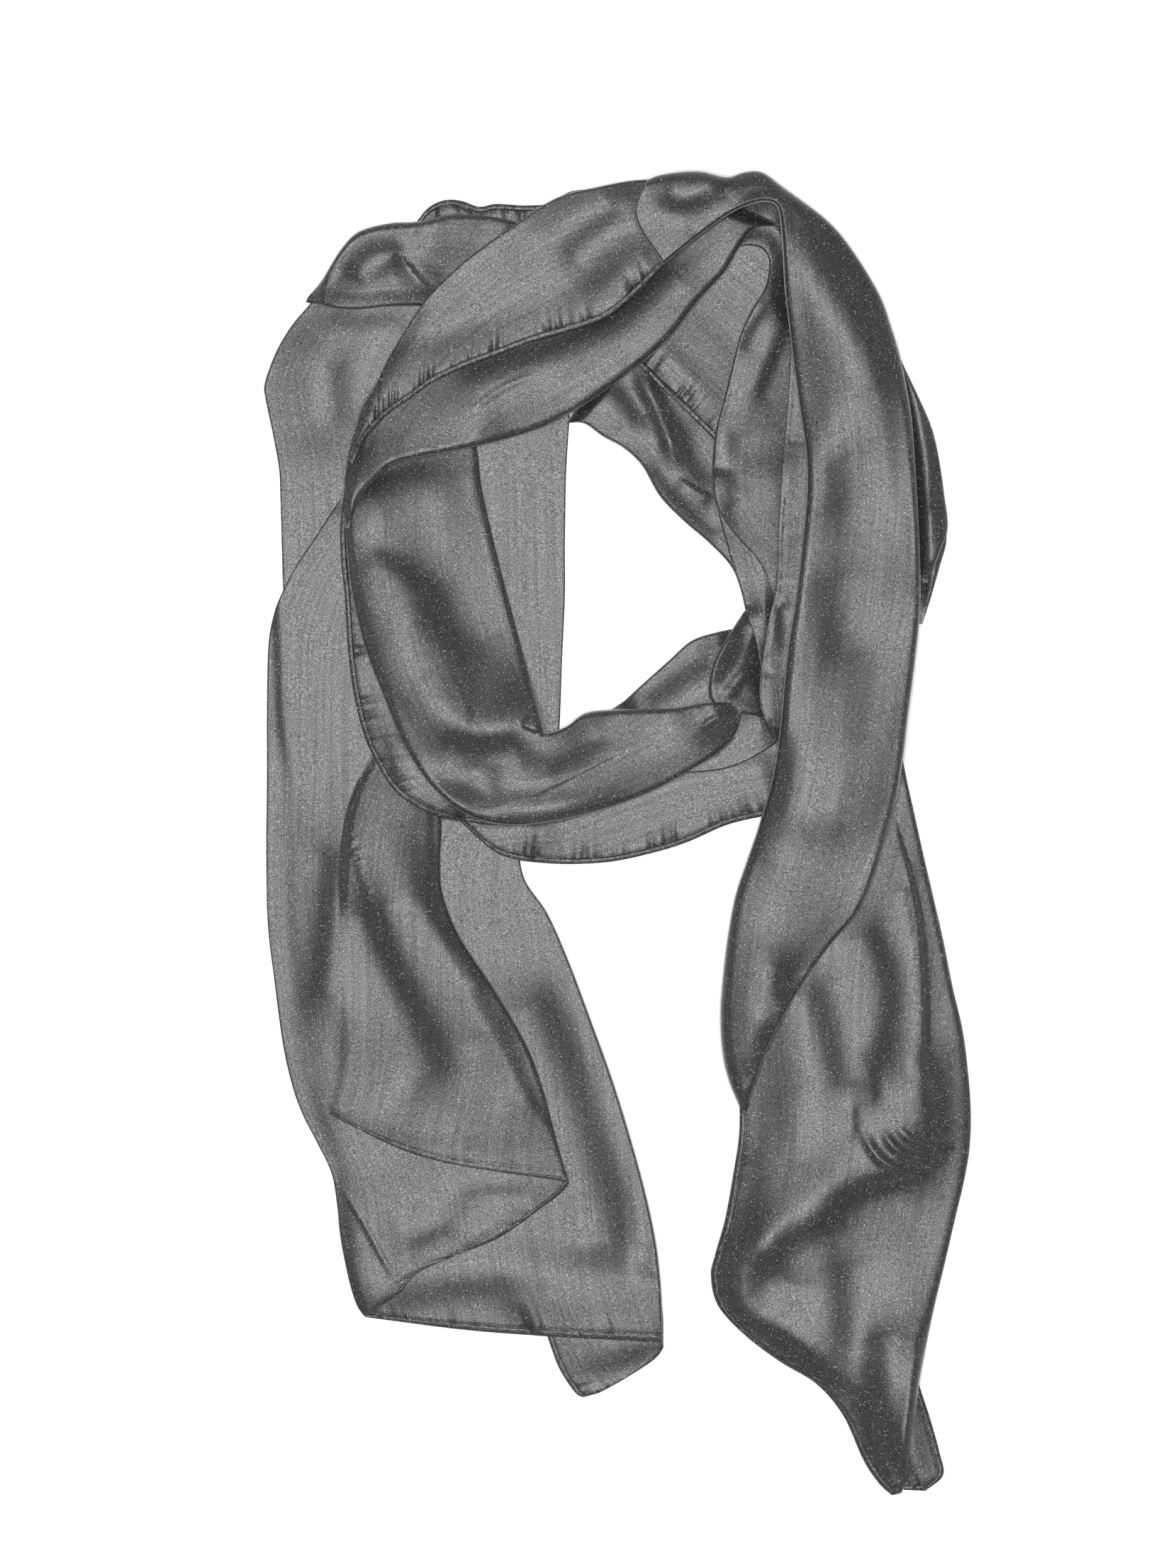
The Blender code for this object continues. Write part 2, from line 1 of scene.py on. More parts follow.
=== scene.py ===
# %% [markdown]
# # A satin chiffon scarf, laid flat in a neck loop
# The scarf is one long rectangle of thin, lustrous cloth with a narrow rolled hem all round. It
# is wound once, so that it makes a loop for the neck, and both tails hang down. Here it lies
# flat on a pale table and is seen from straight above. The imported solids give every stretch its
# place. This script lays a fine, thin sheet over each of them and gives it folds and a finish.

import math
from collections import namedtuple

import bmesh
import bpy
import numpy as np
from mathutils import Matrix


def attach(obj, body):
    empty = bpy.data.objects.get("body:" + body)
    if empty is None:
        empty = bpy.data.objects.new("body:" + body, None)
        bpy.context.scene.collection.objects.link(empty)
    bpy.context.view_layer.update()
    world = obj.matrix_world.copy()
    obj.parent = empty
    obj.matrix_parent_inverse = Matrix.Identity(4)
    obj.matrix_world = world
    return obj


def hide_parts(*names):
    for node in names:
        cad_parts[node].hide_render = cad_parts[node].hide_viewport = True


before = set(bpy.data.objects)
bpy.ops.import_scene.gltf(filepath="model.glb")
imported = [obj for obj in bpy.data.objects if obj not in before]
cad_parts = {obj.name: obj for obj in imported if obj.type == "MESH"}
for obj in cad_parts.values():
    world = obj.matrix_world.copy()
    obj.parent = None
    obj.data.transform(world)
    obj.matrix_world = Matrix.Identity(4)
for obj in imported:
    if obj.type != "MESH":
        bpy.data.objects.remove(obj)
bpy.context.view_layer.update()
print("solids:", len(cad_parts))

# %% [markdown]
# The layout is drawn on a drafting grid, the same one that the solids use. The end hem of the
# left tail can be followed through its four folds from corner to corner, and that is the width
# of the cloth. So the cloth's width fixes how many millimetres one step of the grid is.

# %% The drafting grid
CLOTH_WIDTH = 360.0
STEPS_ACROSS_CLOTH = 1242.0
STEP = CLOTH_WIDTH / STEPS_ACROSS_CLOTH
GRID_MIDDLE_X = 871.24
GRID_MIDDLE_Y = 1175.46
METRE = 0.001


def on_table(points):
    """Drafting grid points as millimetres from the middle of the laid scarf."""
    points = np.asarray(points, float)
    x = (points[..., 0] - GRID_MIDDLE_X) * STEP
    y = (GRID_MIDDLE_Y - points[..., 1]) * STEP
    return np.stack((x, y), axis=-1)


print("one step is", round(STEP, 4), "mm")

# %% [markdown]
# A sheet of cloth has four edges, and each is one of three kinds. A hem is rolled and stitched,
# so it makes a narrow bead, and its gather says how much the stitches draw the cloth in. A fold
# turns over and under, so it is round and a little high. A tucked edge lies hidden under the
# next layer. The height and the width are in millimetres. Where an edge changes along its
# length, `last` is how many times larger both are at its far end.

# %% Kinds of edge
Edge = namedtuple("Edge", "kind height width last gather", defaults=(1.0, 0.0))
HEM = Edge("hem", 0.5, 2.2, 1.0, 0.35)
FLAT_HEM = Edge("hem", 0.15, 1.8, 1.0, 0.15)
LIGHT_HEM = Edge("hem", 0.3, 2.0, 1.0, 0.25)
GATHERED_HEM = Edge("hem", 0.55, 2.2, 1.0, 0.9)
TUCKED = Edge("tucked", 0.0, 10.0)
DEEP_TUCK = Edge("tucked", 0.0, 26.0, 0.08)
LONG_TUCK = Edge("tucked", 0.0, 40.0)
SHEER_EDGE = Edge("tucked", 0.0, 3.0, 2.6)
THIN_FOLD = Edge("fold", 0.1, 0.9)
CRISP_FOLD = Edge("fold", 0.2, 1.2)
FLAT_FOLD = Edge("fold", 0.5, 2.2)
SOFT_FOLD = Edge("fold", 0.9, 3.2)
ROUND_FOLD = Edge("fold", 0.35, 1.5, 3.4)
FULL_FOLD = Edge("fold", 1.4, 4.0, 0.5)
WANING_FOLD = Edge("fold", 1.4, 4.5, 0.3)
WAXING_FOLD = Edge("fold", 0.4, 2.2, 2.4)
print("hem bead:", HEM.width, "mm wide")

# %% [markdown]
# Each sheet is drawn as sections across the cloth, from one end of the stretch to the other. A
# section is two or three grid points, from the left edge to the right edge. A curve through
# them then gives the whole outline, as a boat builder gets a hull from a few frames. The rise is
# how high the cloth lies over what carries it, and the crown is how much more it swells in the
# middle. The bridge is how far it spans from one high place to the next, instead of sinking in.

# %% The back of the neck
Sheet = namedtuple("Sheet", "name nodes left right start end rise crown bridge sections")


def stretch(
    name, left, right, rise, crown, sections, start=TUCKED, end=TUCKED, bridge=0.0, also=()
):
    """A sheet over the solid of the same name, and over others that it covers as well."""
    return Sheet(name, (name, *also), left, right, start, end, rise, crown, bridge, sections)


BACK_SHEETS = (
    stretch("back_panel", THIN_FOLD, THIN_FOLD, 0.7, 0.4, (
        (462, 392, 700, 392), (440, 424, 690, 424), (410, 460, 740, 460), (388, 498, 790, 500),
        (373, 540, 804, 560), (374, 562, 804, 582), (384, 610, 802, 612), (393, 660, 799, 660),
        (395, 700, 798, 700), (397, 770, 797, 770), (399, 832, 797, 840), (405, 930, 793, 930),
        (410, 1020, 789, 1030), (430, 1110, 780, 1110),
    )),
    stretch("inner_back", CRISP_FOLD, DEEP_TUCK, 0.8, 0.4, (
        (798, 596, 915, 430), (824, 597, 960, 450), (850, 615, 1000, 480), (880, 632, 1025, 520),
        (906, 657, 1050, 565), (931, 700, 1075, 615), (965, 735, 1090, 665),
        (1000, 765, 1100, 715), (1030, 797, 1108, 770), (1044, 828, 1112, 815),
        (1052, 862, 1115, 858),
    ), also=("inner_side",)),
    stretch("inner_middle", GATHERED_HEM, TUCKED, 0.7, 0.2, (
        (878, 498, 1010, 292), (905, 519, 1060, 284), (927, 541, 1104, 284), (950, 562, 1110, 350),
        (976, 588, 1110, 440), (1000, 612, 1115, 490), (1015, 630, 1118, 530),
        (1030, 650, 1120, 580),
    )),
    stretch("top_hem", GATHERED_HEM, TUCKED, 0.7, 0.2, (
        (588, 311, 603, 348), (600, 296, 612, 350), (614, 286, 622, 350), (632, 281, 637, 350),
        (652, 283, 656, 350), (676, 291, 682, 350), (700, 287, 708, 348), (740, 289, 748, 345),
        (775, 286, 790, 335), (803, 270, 820, 310), (838, 265, 850, 300),
    )),
    stretch("shoulder", CRISP_FOLD, SOFT_FOLD, 1.0, 0.6, (
        (431, 426, 434, 419), (450, 429, 454, 394), (475, 435, 480, 352), (505, 436, 506, 326),
        (545, 432, 550, 314), (580, 431, 588, 312), (615, 432, 640, 302), (660, 430, 700, 306),
        (705, 420, 745, 318),
    )),
)
print("back of the neck:", len(BACK_SHEETS), "sheets")

# %% The left tail
LEFT_TAIL_SHEETS = (
    stretch("left_tail_rear_corner", HEM, FLAT_FOLD, 0.7, 0.2, (
        (740, 1800, 925, 1790), (756, 1840, 935, 1850), (770, 1880, 936, 1892),
        (786, 1925, 935, 1904), (800, 1950, 920, 1921), (813, 1967, 878, 1948),
        (822, 1972, 845, 1966),
    ), end=HEM),
    stretch("left_tail_back", TUCKED, CRISP_FOLD, 0.7, 0.4, (
        (470, 1130, 600, 1131, 742, 1132), (440, 1180, 600, 1185, 733, 1190),
        (430, 1230, 600, 1235, 740, 1240), (430, 1290, 600, 1290, 773, 1290),
        (440, 1360, 600, 1360, 804, 1360), (455, 1440, 630, 1440, 834, 1440),
        (465, 1520, 650, 1520, 863, 1520), (470, 1600, 670, 1600, 888, 1600),
        (475, 1680, 690, 1680, 910, 1680), (482, 1750, 700, 1752, 925, 1750),
        (492, 1800, 700, 1808, 932, 1810), (506, 1840, 700, 1852, 934, 1860),
        (515, 1859, 690, 1880, 934, 1894),
    ), end=HEM),
    stretch("left_tail_middle", THIN_FOLD, FLAT_HEM, 0.7, 0.3, (
        (484, 697, 492, 701, 500, 705), (462, 730, 490, 732, 520, 735),
        (440, 764, 490, 766, 540, 770), (418, 797, 490, 800, 560, 810),
        (399, 833, 490, 836, 575, 850), (386, 866, 490, 878, 582, 890),
        (378, 912, 490, 922, 588, 930), (376, 1000, 495, 1005, 592, 1010),
        (376, 1100, 490, 1105, 594, 1110), (375, 1200, 490, 1205, 596, 1210),
        (377, 1300, 495, 1305, 606, 1310), (386, 1380, 515, 1385, 640, 1390),
        (399, 1476, 545, 1478, 690, 1480), (413, 1536, 575, 1550, 735, 1560),
        (427, 1574, 600, 1592, 768, 1605), (445, 1609, 612, 1630, 790, 1640),
        (467, 1655, 625, 1668, 801, 1672), (475, 1700, 620, 1708, 760, 1707),
        (479, 1740, 590, 1750, 706, 1745), (485, 1775, 560, 1785, 650, 1769),
        (494, 1815, 540, 1815, 590, 1796), (503, 1842, 530, 1838, 562, 1826),
        (513, 1857, 518, 1855, 524, 1851),
    ), end=FLAT_HEM),
    stretch("left_tail_front", SHEER_EDGE, FLAT_FOLD, 0.4, 0.3, (
        (556, 985, 608, 1005, 660, 1025), (542, 1012, 596, 1032, 650, 1052),
        (530, 1040, 585, 1060, 640, 1080), (518, 1075, 574, 1092, 630, 1110),
        (500, 1110, 560, 1125, 622, 1140), (487, 1150, 555, 1160, 623, 1170),
        (479, 1200, 550, 1207, 621, 1215), (474, 1260, 550, 1260, 625, 1262),
        (473, 1320, 560, 1318, 648, 1320), (473, 1390, 585, 1392, 695, 1392),
        (472, 1450, 600, 1455, 730, 1450), (470, 1500, 610, 1510, 753, 1498),
        (463, 1535, 612, 1560, 770, 1550), (457, 1558, 605, 1600, 785, 1608),
        (462, 1572, 600, 1633, 802, 1668),
    ), start=LONG_TUCK, end=LIGHT_HEM),
)
print("left tail:", len(LEFT_TAIL_SHEETS), "sheets")

# %% The right side and the bottom of the ring
RING_SHEETS = (
    stretch("side_fold_rear", TUCKED, FLAT_FOLD, 0.7, 0.2, (
        (1290, 700, 1330, 720), (1290, 760, 1336, 760), (1292, 800, 1326, 800),
        (1296, 840, 1314, 842), (1297, 880, 1302, 880),
    )),
    stretch("side_fold", TUCKED, FLAT_FOLD, 1.0, 0.3, (
        (1246, 480, 1266, 495), (1258, 520, 1280, 525), (1266, 560, 1299, 565),
        (1272, 600, 1315, 603), (1277, 640, 1325, 645), (1280, 690, 1333, 700),
        (1282, 740, 1337, 745), (1283, 780, 1326, 780), (1284, 820, 1309, 822),
    )),
    stretch("bottom_band", TUCKED, GATHERED_HEM, 0.7, 0.3, (
        (560, 1060, 570, 1090), (600, 1100, 606, 1126), (640, 1130, 650, 1160),
        (680, 1140, 690, 1196), (730, 1135, 725, 1212), (800, 1130, 790, 1219),
        (860, 1105, 860, 1216), (910, 1085, 922, 1203), (960, 1065, 970, 1188),
        (1005, 1055, 1028, 1163), (1050, 1045, 1085, 1150), (1100, 1030, 1110, 1145),
    )),
    stretch("bottom_middle", TUCKED, THIN_FOLD, 0.7, 0.2, (
        (930, 1050, 950, 1092), (1000, 1040, 1010, 1087), (1040, 1000, 1050, 1075),
        (1072, 985, 1090, 1052), (1085, 980, 1110, 1040),
    )),
    stretch("bottom_back", CRISP_FOLD, TUCKED, 0.7, 0.3, (
        (862, 1001, 890, 1040), (880, 989, 906, 1040), (905, 966, 930, 1040),
        (942, 933, 970, 1040), (975, 904, 1000, 1040), (1010, 892, 1040, 1040),
        (1040, 886, 1075, 1030),
    )),
    stretch("loop_tuck", FLAT_FOLD, TUCKED, 0.8, 0.4, (
        (1053, 858, 1100, 850), (1035, 885, 1096, 890), (1012, 922, 1092, 920),
        (1001, 955, 1092, 955), (1001, 984, 1092, 990), (1016, 1000, 1092, 1015),
    ), end=SOFT_FOLD),
    stretch("inner_under", CRISP_FOLD, TUCKED, 0.7, 0.2, (
        (1005, 680, 1110, 680), (1015, 730, 1110, 730), (1030, 785, 1110, 785),
        (1043, 825, 1110, 830), (1053, 862, 1108, 870), (1066, 905, 1106, 910),
        (1074, 950, 1104, 960), (1075, 1000, 1102, 1010), (1090, 1040, 1102, 1045),
    )),
    stretch("inner_strand", CRISP_FOLD, TUCKED, 0.8, 0.5, (
        (1044, 347, 1046, 322), (1060, 346, 1068, 315), (1076, 351, 1094, 322),
        (1085, 366, 1108, 350), (1084, 386, 1114, 378), (1078, 408, 1118, 405),
        (1060, 437, 1122, 440), (1045, 470, 1146, 475), (1034, 510, 1154, 510),
        (1022, 560, 1160, 560), (1010, 605, 1166, 605), (1005, 650, 1172, 650),
        (1006, 695, 1172, 695), (1018, 728, 1168, 728), (1040, 758, 1164, 758),
        (1066, 786, 1160, 786), (1083, 815, 1156, 815), (1093, 842, 1150, 842),
    ), start=THIN_FOLD, end=LONG_TUCK),
    stretch("inner_hem", FLAT_HEM, TUCKED, 0.6, 0.1, (
        (1117, 480, 1152, 480), (1114, 530, 1170, 530), (1110, 590, 1182, 590),
        (1104, 650, 1188, 650), (1100, 710, 1188, 710), (1097, 770, 1182, 770),
        (1094, 830, 1176, 830), (1084, 875, 1170, 880), (1075, 930, 1164, 935),
        (1071, 985, 1158, 990), (1082, 1025, 1150, 1030), (1097, 1052, 1140, 1050),
    )),
)
print("ring:", len(RING_SHEETS), "sheets")

# %% The front of the loop and the strap over the top
FRONT_SHEETS = (
    stretch("loop_under", GATHERED_HEM, TUCKED, 0.6, 0.1, (
        (486, 690, 520, 690), (480, 740, 530, 740), (481, 790, 540, 800), (486, 840, 550, 860),
        (491, 920, 560, 915), (500, 985, 580, 970), (513, 1036, 610, 1020), (526, 1066, 640, 1050),
        (550, 1107, 670, 1070), (575, 1130, 690, 1080), (610, 1149, 710, 1090),
        (650, 1158, 720, 1100), (700, 1165, 740, 1100),
    )),
    stretch("loop_front", WANING_FOLD, FULL_FOLD, 1.8, 0.8, (
        (505, 632, 600, 600), (492, 665, 664, 612), (487, 720, 680, 690), (490, 784, 697, 765),
        (499, 850, 716, 840), (515, 915, 735, 910), (540, 980, 752, 970), (570, 1050, 765, 1012),
        (610, 1110, 769, 1032), (660, 1150, 778, 1033), (717, 1164, 800, 1024),
        (780, 1159, 825, 1006), (850, 1142, 860, 1001), (915, 1118, 900, 1000),
        (975, 1086, 950, 999), (1015, 1060, 985, 993), (1038, 1034, 1015, 990),
        (1047, 1003, 1035, 993),
    ), start=LONG_TUCK, bridge=0.4, also=("bottom_front",)),
    stretch("loop_roll", DEEP_TUCK, SOFT_FOLD, 1.4, 0.6, (
        (970, 250, 1103, 318), (950, 272, 1066, 322), (920, 300, 1043, 349), (885, 325, 1022, 384),
        (840, 350, 985, 425), (780, 385, 943, 478), (720, 415, 885, 528), (650, 440, 800, 586),
        (590, 475, 725, 616), (545, 520, 640, 636), (510, 570, 585, 646), (498, 615, 552, 656),
        (489, 660, 530, 676), (486, 700, 508, 704), (487, 745, 492, 746),
    ), bridge=0.4),
    stretch("top_panel", CRISP_FOLD, GATHERED_HEM, 1.0, 0.6, (
        (985, 242, 1010, 315), (930, 251, 985, 333), (885, 255, 935, 376), (840, 264, 900, 412),
        (800, 273, 855, 448), (766, 289, 800, 468), (733, 312, 750, 482), (701, 334, 700, 501),
        (655, 369, 655, 518), (611, 411, 611, 539), (585, 446, 580, 561), (550, 502, 550, 582),
        (529, 548, 528, 603), (508, 600, 511, 626), (491, 650, 498, 656),
    ), bridge=0.15),
)
print("front and top:", len(FRONT_SHEETS), "sheets")

# %% The right tail
RIGHT_TAIL_SHEETS = (
    stretch("right_tail_rear_corner", TUCKED, HEM, 0.7, 0.2, (
        (1230, 1900, 1285, 1900), (1240, 1950, 1296, 1950), (1250, 2000, 1312, 2000),
        (1258, 2050, 1326, 2050), (1268, 2080, 1331, 2082), (1276, 2103, 1306, 2104),
    ), end=HEM),
    stretch("right_tail_back", HEM, WAXING_FOLD, 0.9, 0.6, (
        (1112, 1040, 1272, 1062), (1104, 1080, 1282, 1110), (1096, 1120, 1291, 1150),
        (1086, 1165, 1302, 1200), (1066, 1225, 1316, 1260), (1048, 1290, 1331, 1325),
        (1040, 1350, 1344, 1390), (1034, 1420, 1358, 1450), (1036, 1475, 1365, 1500),
        (1042, 1535, 1370, 1560), (1043, 1598, 1369, 1615), (1034, 1660, 1361, 1665),
        (1023, 1720, 1348, 1720), (1009, 1770, 1333, 1785), (1003, 1800, 1322, 1830),
        (1013, 1842, 1312, 1875), (1050, 1883, 1305, 1910), (1100, 1921, 1298, 1945),
        (1152, 1953, 1293, 1985), (1190, 1998, 1287, 2025), (1218, 2060, 1282, 2062),
        (1240, 2093, 1279, 2090), (1258, 2110, 1272, 2107),
    ), end=HEM),
    stretch("right_tail_front", ROUND_FOLD, WANING_FOLD, 2.0, 0.8, (
        (936, 374, 896, 306, 913, 254), (960, 354, 930, 300, 938, 246), (990, 330, 985, 242),
        (1025, 305, 1025, 250), (1055, 290, 1050, 243), (1080, 285, 1075, 243),
        (1096, 292, 1105, 264), (1101, 318, 1166, 310), (1104, 360, 1202, 352),
        (1107, 410, 1240, 414), (1113, 460, 1257, 460), (1119, 510, 1271, 508),
        (1129, 580, 1285, 580), (1137, 640, 1291, 650), (1138, 695, 1295, 720),
        (1133, 755, 1298, 790), (1124, 835, 1298, 860), (1112, 910, 1290, 940),
        (1105, 975, 1281, 1010), (1100, 1030, 1274, 1070), (1090, 1095, 1264, 1130),
        (1071, 1163, 1248, 1184), (1053, 1216, 1231, 1237), (1037, 1265, 1208, 1288),
        (1026, 1325, 1170, 1334), (1019, 1385, 1135, 1382), (1016, 1433, 1106, 1432),
        (1019, 1485, 1088, 1466), (1029, 1527, 1069, 1513), (1049, 1573, 1052, 1568),
    ), start=THIN_FOLD, bridge=0.9, also=("top_fold",)),
)
SHEETS = BACK_SHEETS + LEFT_TAIL_SHEETS + RING_SHEETS + FRONT_SHEETS + RIGHT_TAIL_SHEETS
print("right tail:", len(RIGHT_TAIL_SHEETS), "sheets of", len(SHEETS), "in all")

# %% [markdown]
# Folds are what make cloth look like cloth. Each one is placed as a path on the drafting grid with
# a height and a half width in millimetres. A slope is high on the left of its path, as seen when
# one walks along it, and low on the right. It is steep at the path, it fans out past both ends,
# and its high side sinks back to nothing over its reach. Two widths are those at its start and its
# end. A ridge is a soft crest. A lap is a sharp step, high on its left, where the cloth folds over
# itself. A pucker is a row of crests along a stitched line.

# %% Folds of the left tail
Fold = namedtuple("Fold", "kind height width path reach")
SLOPE_REACH = 32.0


def drawn(kind):
    """A function that makes folds of one kind from a height, a half width and a path."""

    def make(height, width, *path, reach=SLOPE_REACH):
        return Fold(kind, height, width, path, reach)

    return make


slope, ridge, lap, pucker = (drawn(kind) for kind in ("slope", "ridge", "lap", "pucker"))

LEFT_TAIL_FOLDS = {
    "left_tail_middle": (
        slope(3.2, 5.5, (474, 1170), (464, 1260), (454, 1340), (442, 1440), reach=20.0),
        slope(1.4, 4.0, (640, 1690), (690, 1680), (760, 1678)),
        slope(1.3, 3.5, (575, 1760), (605, 1745), (640, 1730)),
        ridge(0.5, 1.2, (473, 1665), (507, 1715), (545, 1784), (566, 1818)),
    ),
    "left_tail_front": (
        slope(5.4, (3.8, 10.5),
            (515, 1240), (531, 1300), (556, 1365), (590, 1430), (621, 1495), (640, 1555)),
        slope(3.8, (3.6, 5.0), (700, 1405), (658, 1340), (624, 1290), (602, 1240), reach=18.0),
        slope(1.8, 5.5, (670, 1440), (700, 1490), (718, 1530), (722, 1580)),
        pucker(0.7, 2.0, (484, 1150), (490, 1175), (501, 1203), (520, 1265), (530, 1300)),
    ),
    "left_tail_rear_corner": (
        slope(2.4, 6.0, (800, 1937), (860, 1927), (930, 1905)),
    ),
    "left_tail_back": (
        slope(5.4, 9.5,
            (738, 1340), (778, 1430), (810, 1505), (830, 1570), (852, 1645), (872, 1710),
            (884, 1830)),
        slope(2.6, 7.0, (545, 1850), (640, 1824), (745, 1816)),
    ),
}
print("left tail folds:", sum(map(len, LEFT_TAIL_FOLDS.values())))

# %% Folds of the back of the neck and the inner strand
NECK_FOLDS = {
    "shoulder": (
        slope(5.2, 5.6, (485, 398), (498, 372), (522, 354), (550, 347), (574, 352)),
        slope(1.0, 3.0, (450, 418), (500, 421), (550, 420), (594, 423)),
        lap(0.9, 2.0, (615, 413), (592, 390), (572, 366), (555, 350)),
        slope(1.8, 4.0, (625, 400), (600, 376), (575, 358)),
    ),
    "back_panel": (
        slope(1.3, 4.5, (575, 445), (510, 453), (455, 443)),
        slope(3.0, 7.0, (482, 605), (480, 550), (474, 500)),
    ),
    "top_hem": (
        slope(1.8, 3.2, (705, 346), (716, 318), (724, 295)),
        ridge(0.9, 1.8, (640, 290), (655, 300), (662, 312)),
    ),
    "inner_back": (
        ridge(2.2, 3.6, (899, 505), (910, 540), (929, 580), (947, 625), (956, 672)),
        slope(2.4, 4.0, (905, 600), (885, 570), (860, 540)),
        slope(2.4, 4.5, (1000, 690), (975, 655), (955, 600)),
        lap(0.7, 1.6, (1010, 702), (985, 690), (954, 671)),
        slope(1.6, 3.0, (905, 640), (940, 690), (985, 735), (1020, 770)),
    ),
    "inner_strand": (
        slope(2.0, 4.5, (1034, 700), (1030, 655), (1036, 600)),
        slope(2.0, 3.5, (1070, 800), (1040, 755), (1016, 705)),
        slope(1.8, 2.5, (1062, 570), (1082, 526), (1098, 488), (1110, 450)),
        slope(2.0, 3.0, (1045, 500), (1062, 460), (1090, 425)),
    ),
    "inner_hem": (
        slope(1.5, 3.5, (1112, 850), (1113, 800), (1116, 745)),
    ),
    "side_fold": (
        slope(3.2, 4.0, (1322, 800), (1322, 720), (1312, 640), (1290, 560), (1268, 500)),
    ),
    "side_fold_rear": (
        slope(2.5, 4.0, (1310, 870), (1322, 800), (1326, 740)),
    ),
    "bottom_back": (
        slope(3.2, 6.0, (905, 1000), (965, 955), (1010, 930)),
    ),
    "loop_tuck": (
        slope(3.2, 4.5, (1015, 975), (1025, 935), (1045, 885)),
        ridge(1.2, 2.5, (1020, 990), (1040, 960), (1062, 940)),
    ),
}
print("neck folds:", sum(map(len, NECK_FOLDS.values())))

# %% Folds of the loop and the strap over the top
LOOP_FOLDS = {
    "loop_front": (
        slope(3.0, 4.0, (600, 652), (570, 664), (540, 676), (510, 690)),
        slope(2.4, 4.5, (615, 840), (565, 800), (520, 775)),
        slope(5.2, (8.5, 9.0), (664, 935), (630, 892), (598, 845)),
        slope(1.4, 3.5, (500, 800), (512, 870), (535, 945), (560, 1010)),
        slope(6.4, 5.8, (630, 1030), (662, 1046), (700, 1048), (738, 1036), reach=24.0),
        slope(4.5, 6.0, (690, 1070), (696, 1105), (704, 1145), reach=45.0),
        slope(2.8, 5.5, (765, 1090), (815, 1064), (865, 1040)),
        ridge(3.2, 8.0, (560, 1075), (610, 1125), (700, 1150), (810, 1140), (900, 1108)),
        ridge(3.0, 20.0,
            (690, 1100), (760, 1098), (830, 1088), (900, 1072), (960, 1050), (1030, 1010),
            (1080, 985)),
        lap(0.35, 1.6, (905, 1050), (867, 1067), (821, 1090), (740, 1130)),
        lap(0.9, 2.0, (731, 1019), (740, 1027), (752, 1032), (768, 1034)),
        ridge(0.8, 1.6, (955, 1004), (980, 992), (1008, 990), (1032, 1002)),
        ridge(0.7, 1.4, (985, 1030), (1005, 1016), (1024, 1008), (1040, 1004)),
    ),
    "loop_roll": (
        slope(5.0, 6.8,
            (985, 330), (925, 395), (860, 447), (785, 488), (710, 512), (655, 532), (605, 560)),
        ridge(0.35, 1.2, (655, 588), (690, 560), (725, 540), (768, 527)),
    ),
    "top_panel": (
        slope(5.4, 7.0, (785, 372), (812, 342), (848, 316), (885, 290)),
        slope(2.2, 4.5, (925, 385), (908, 345), (900, 310), (905, 280)),
    ),
}
print("loop folds:", sum(map(len, LOOP_FOLDS.values())))

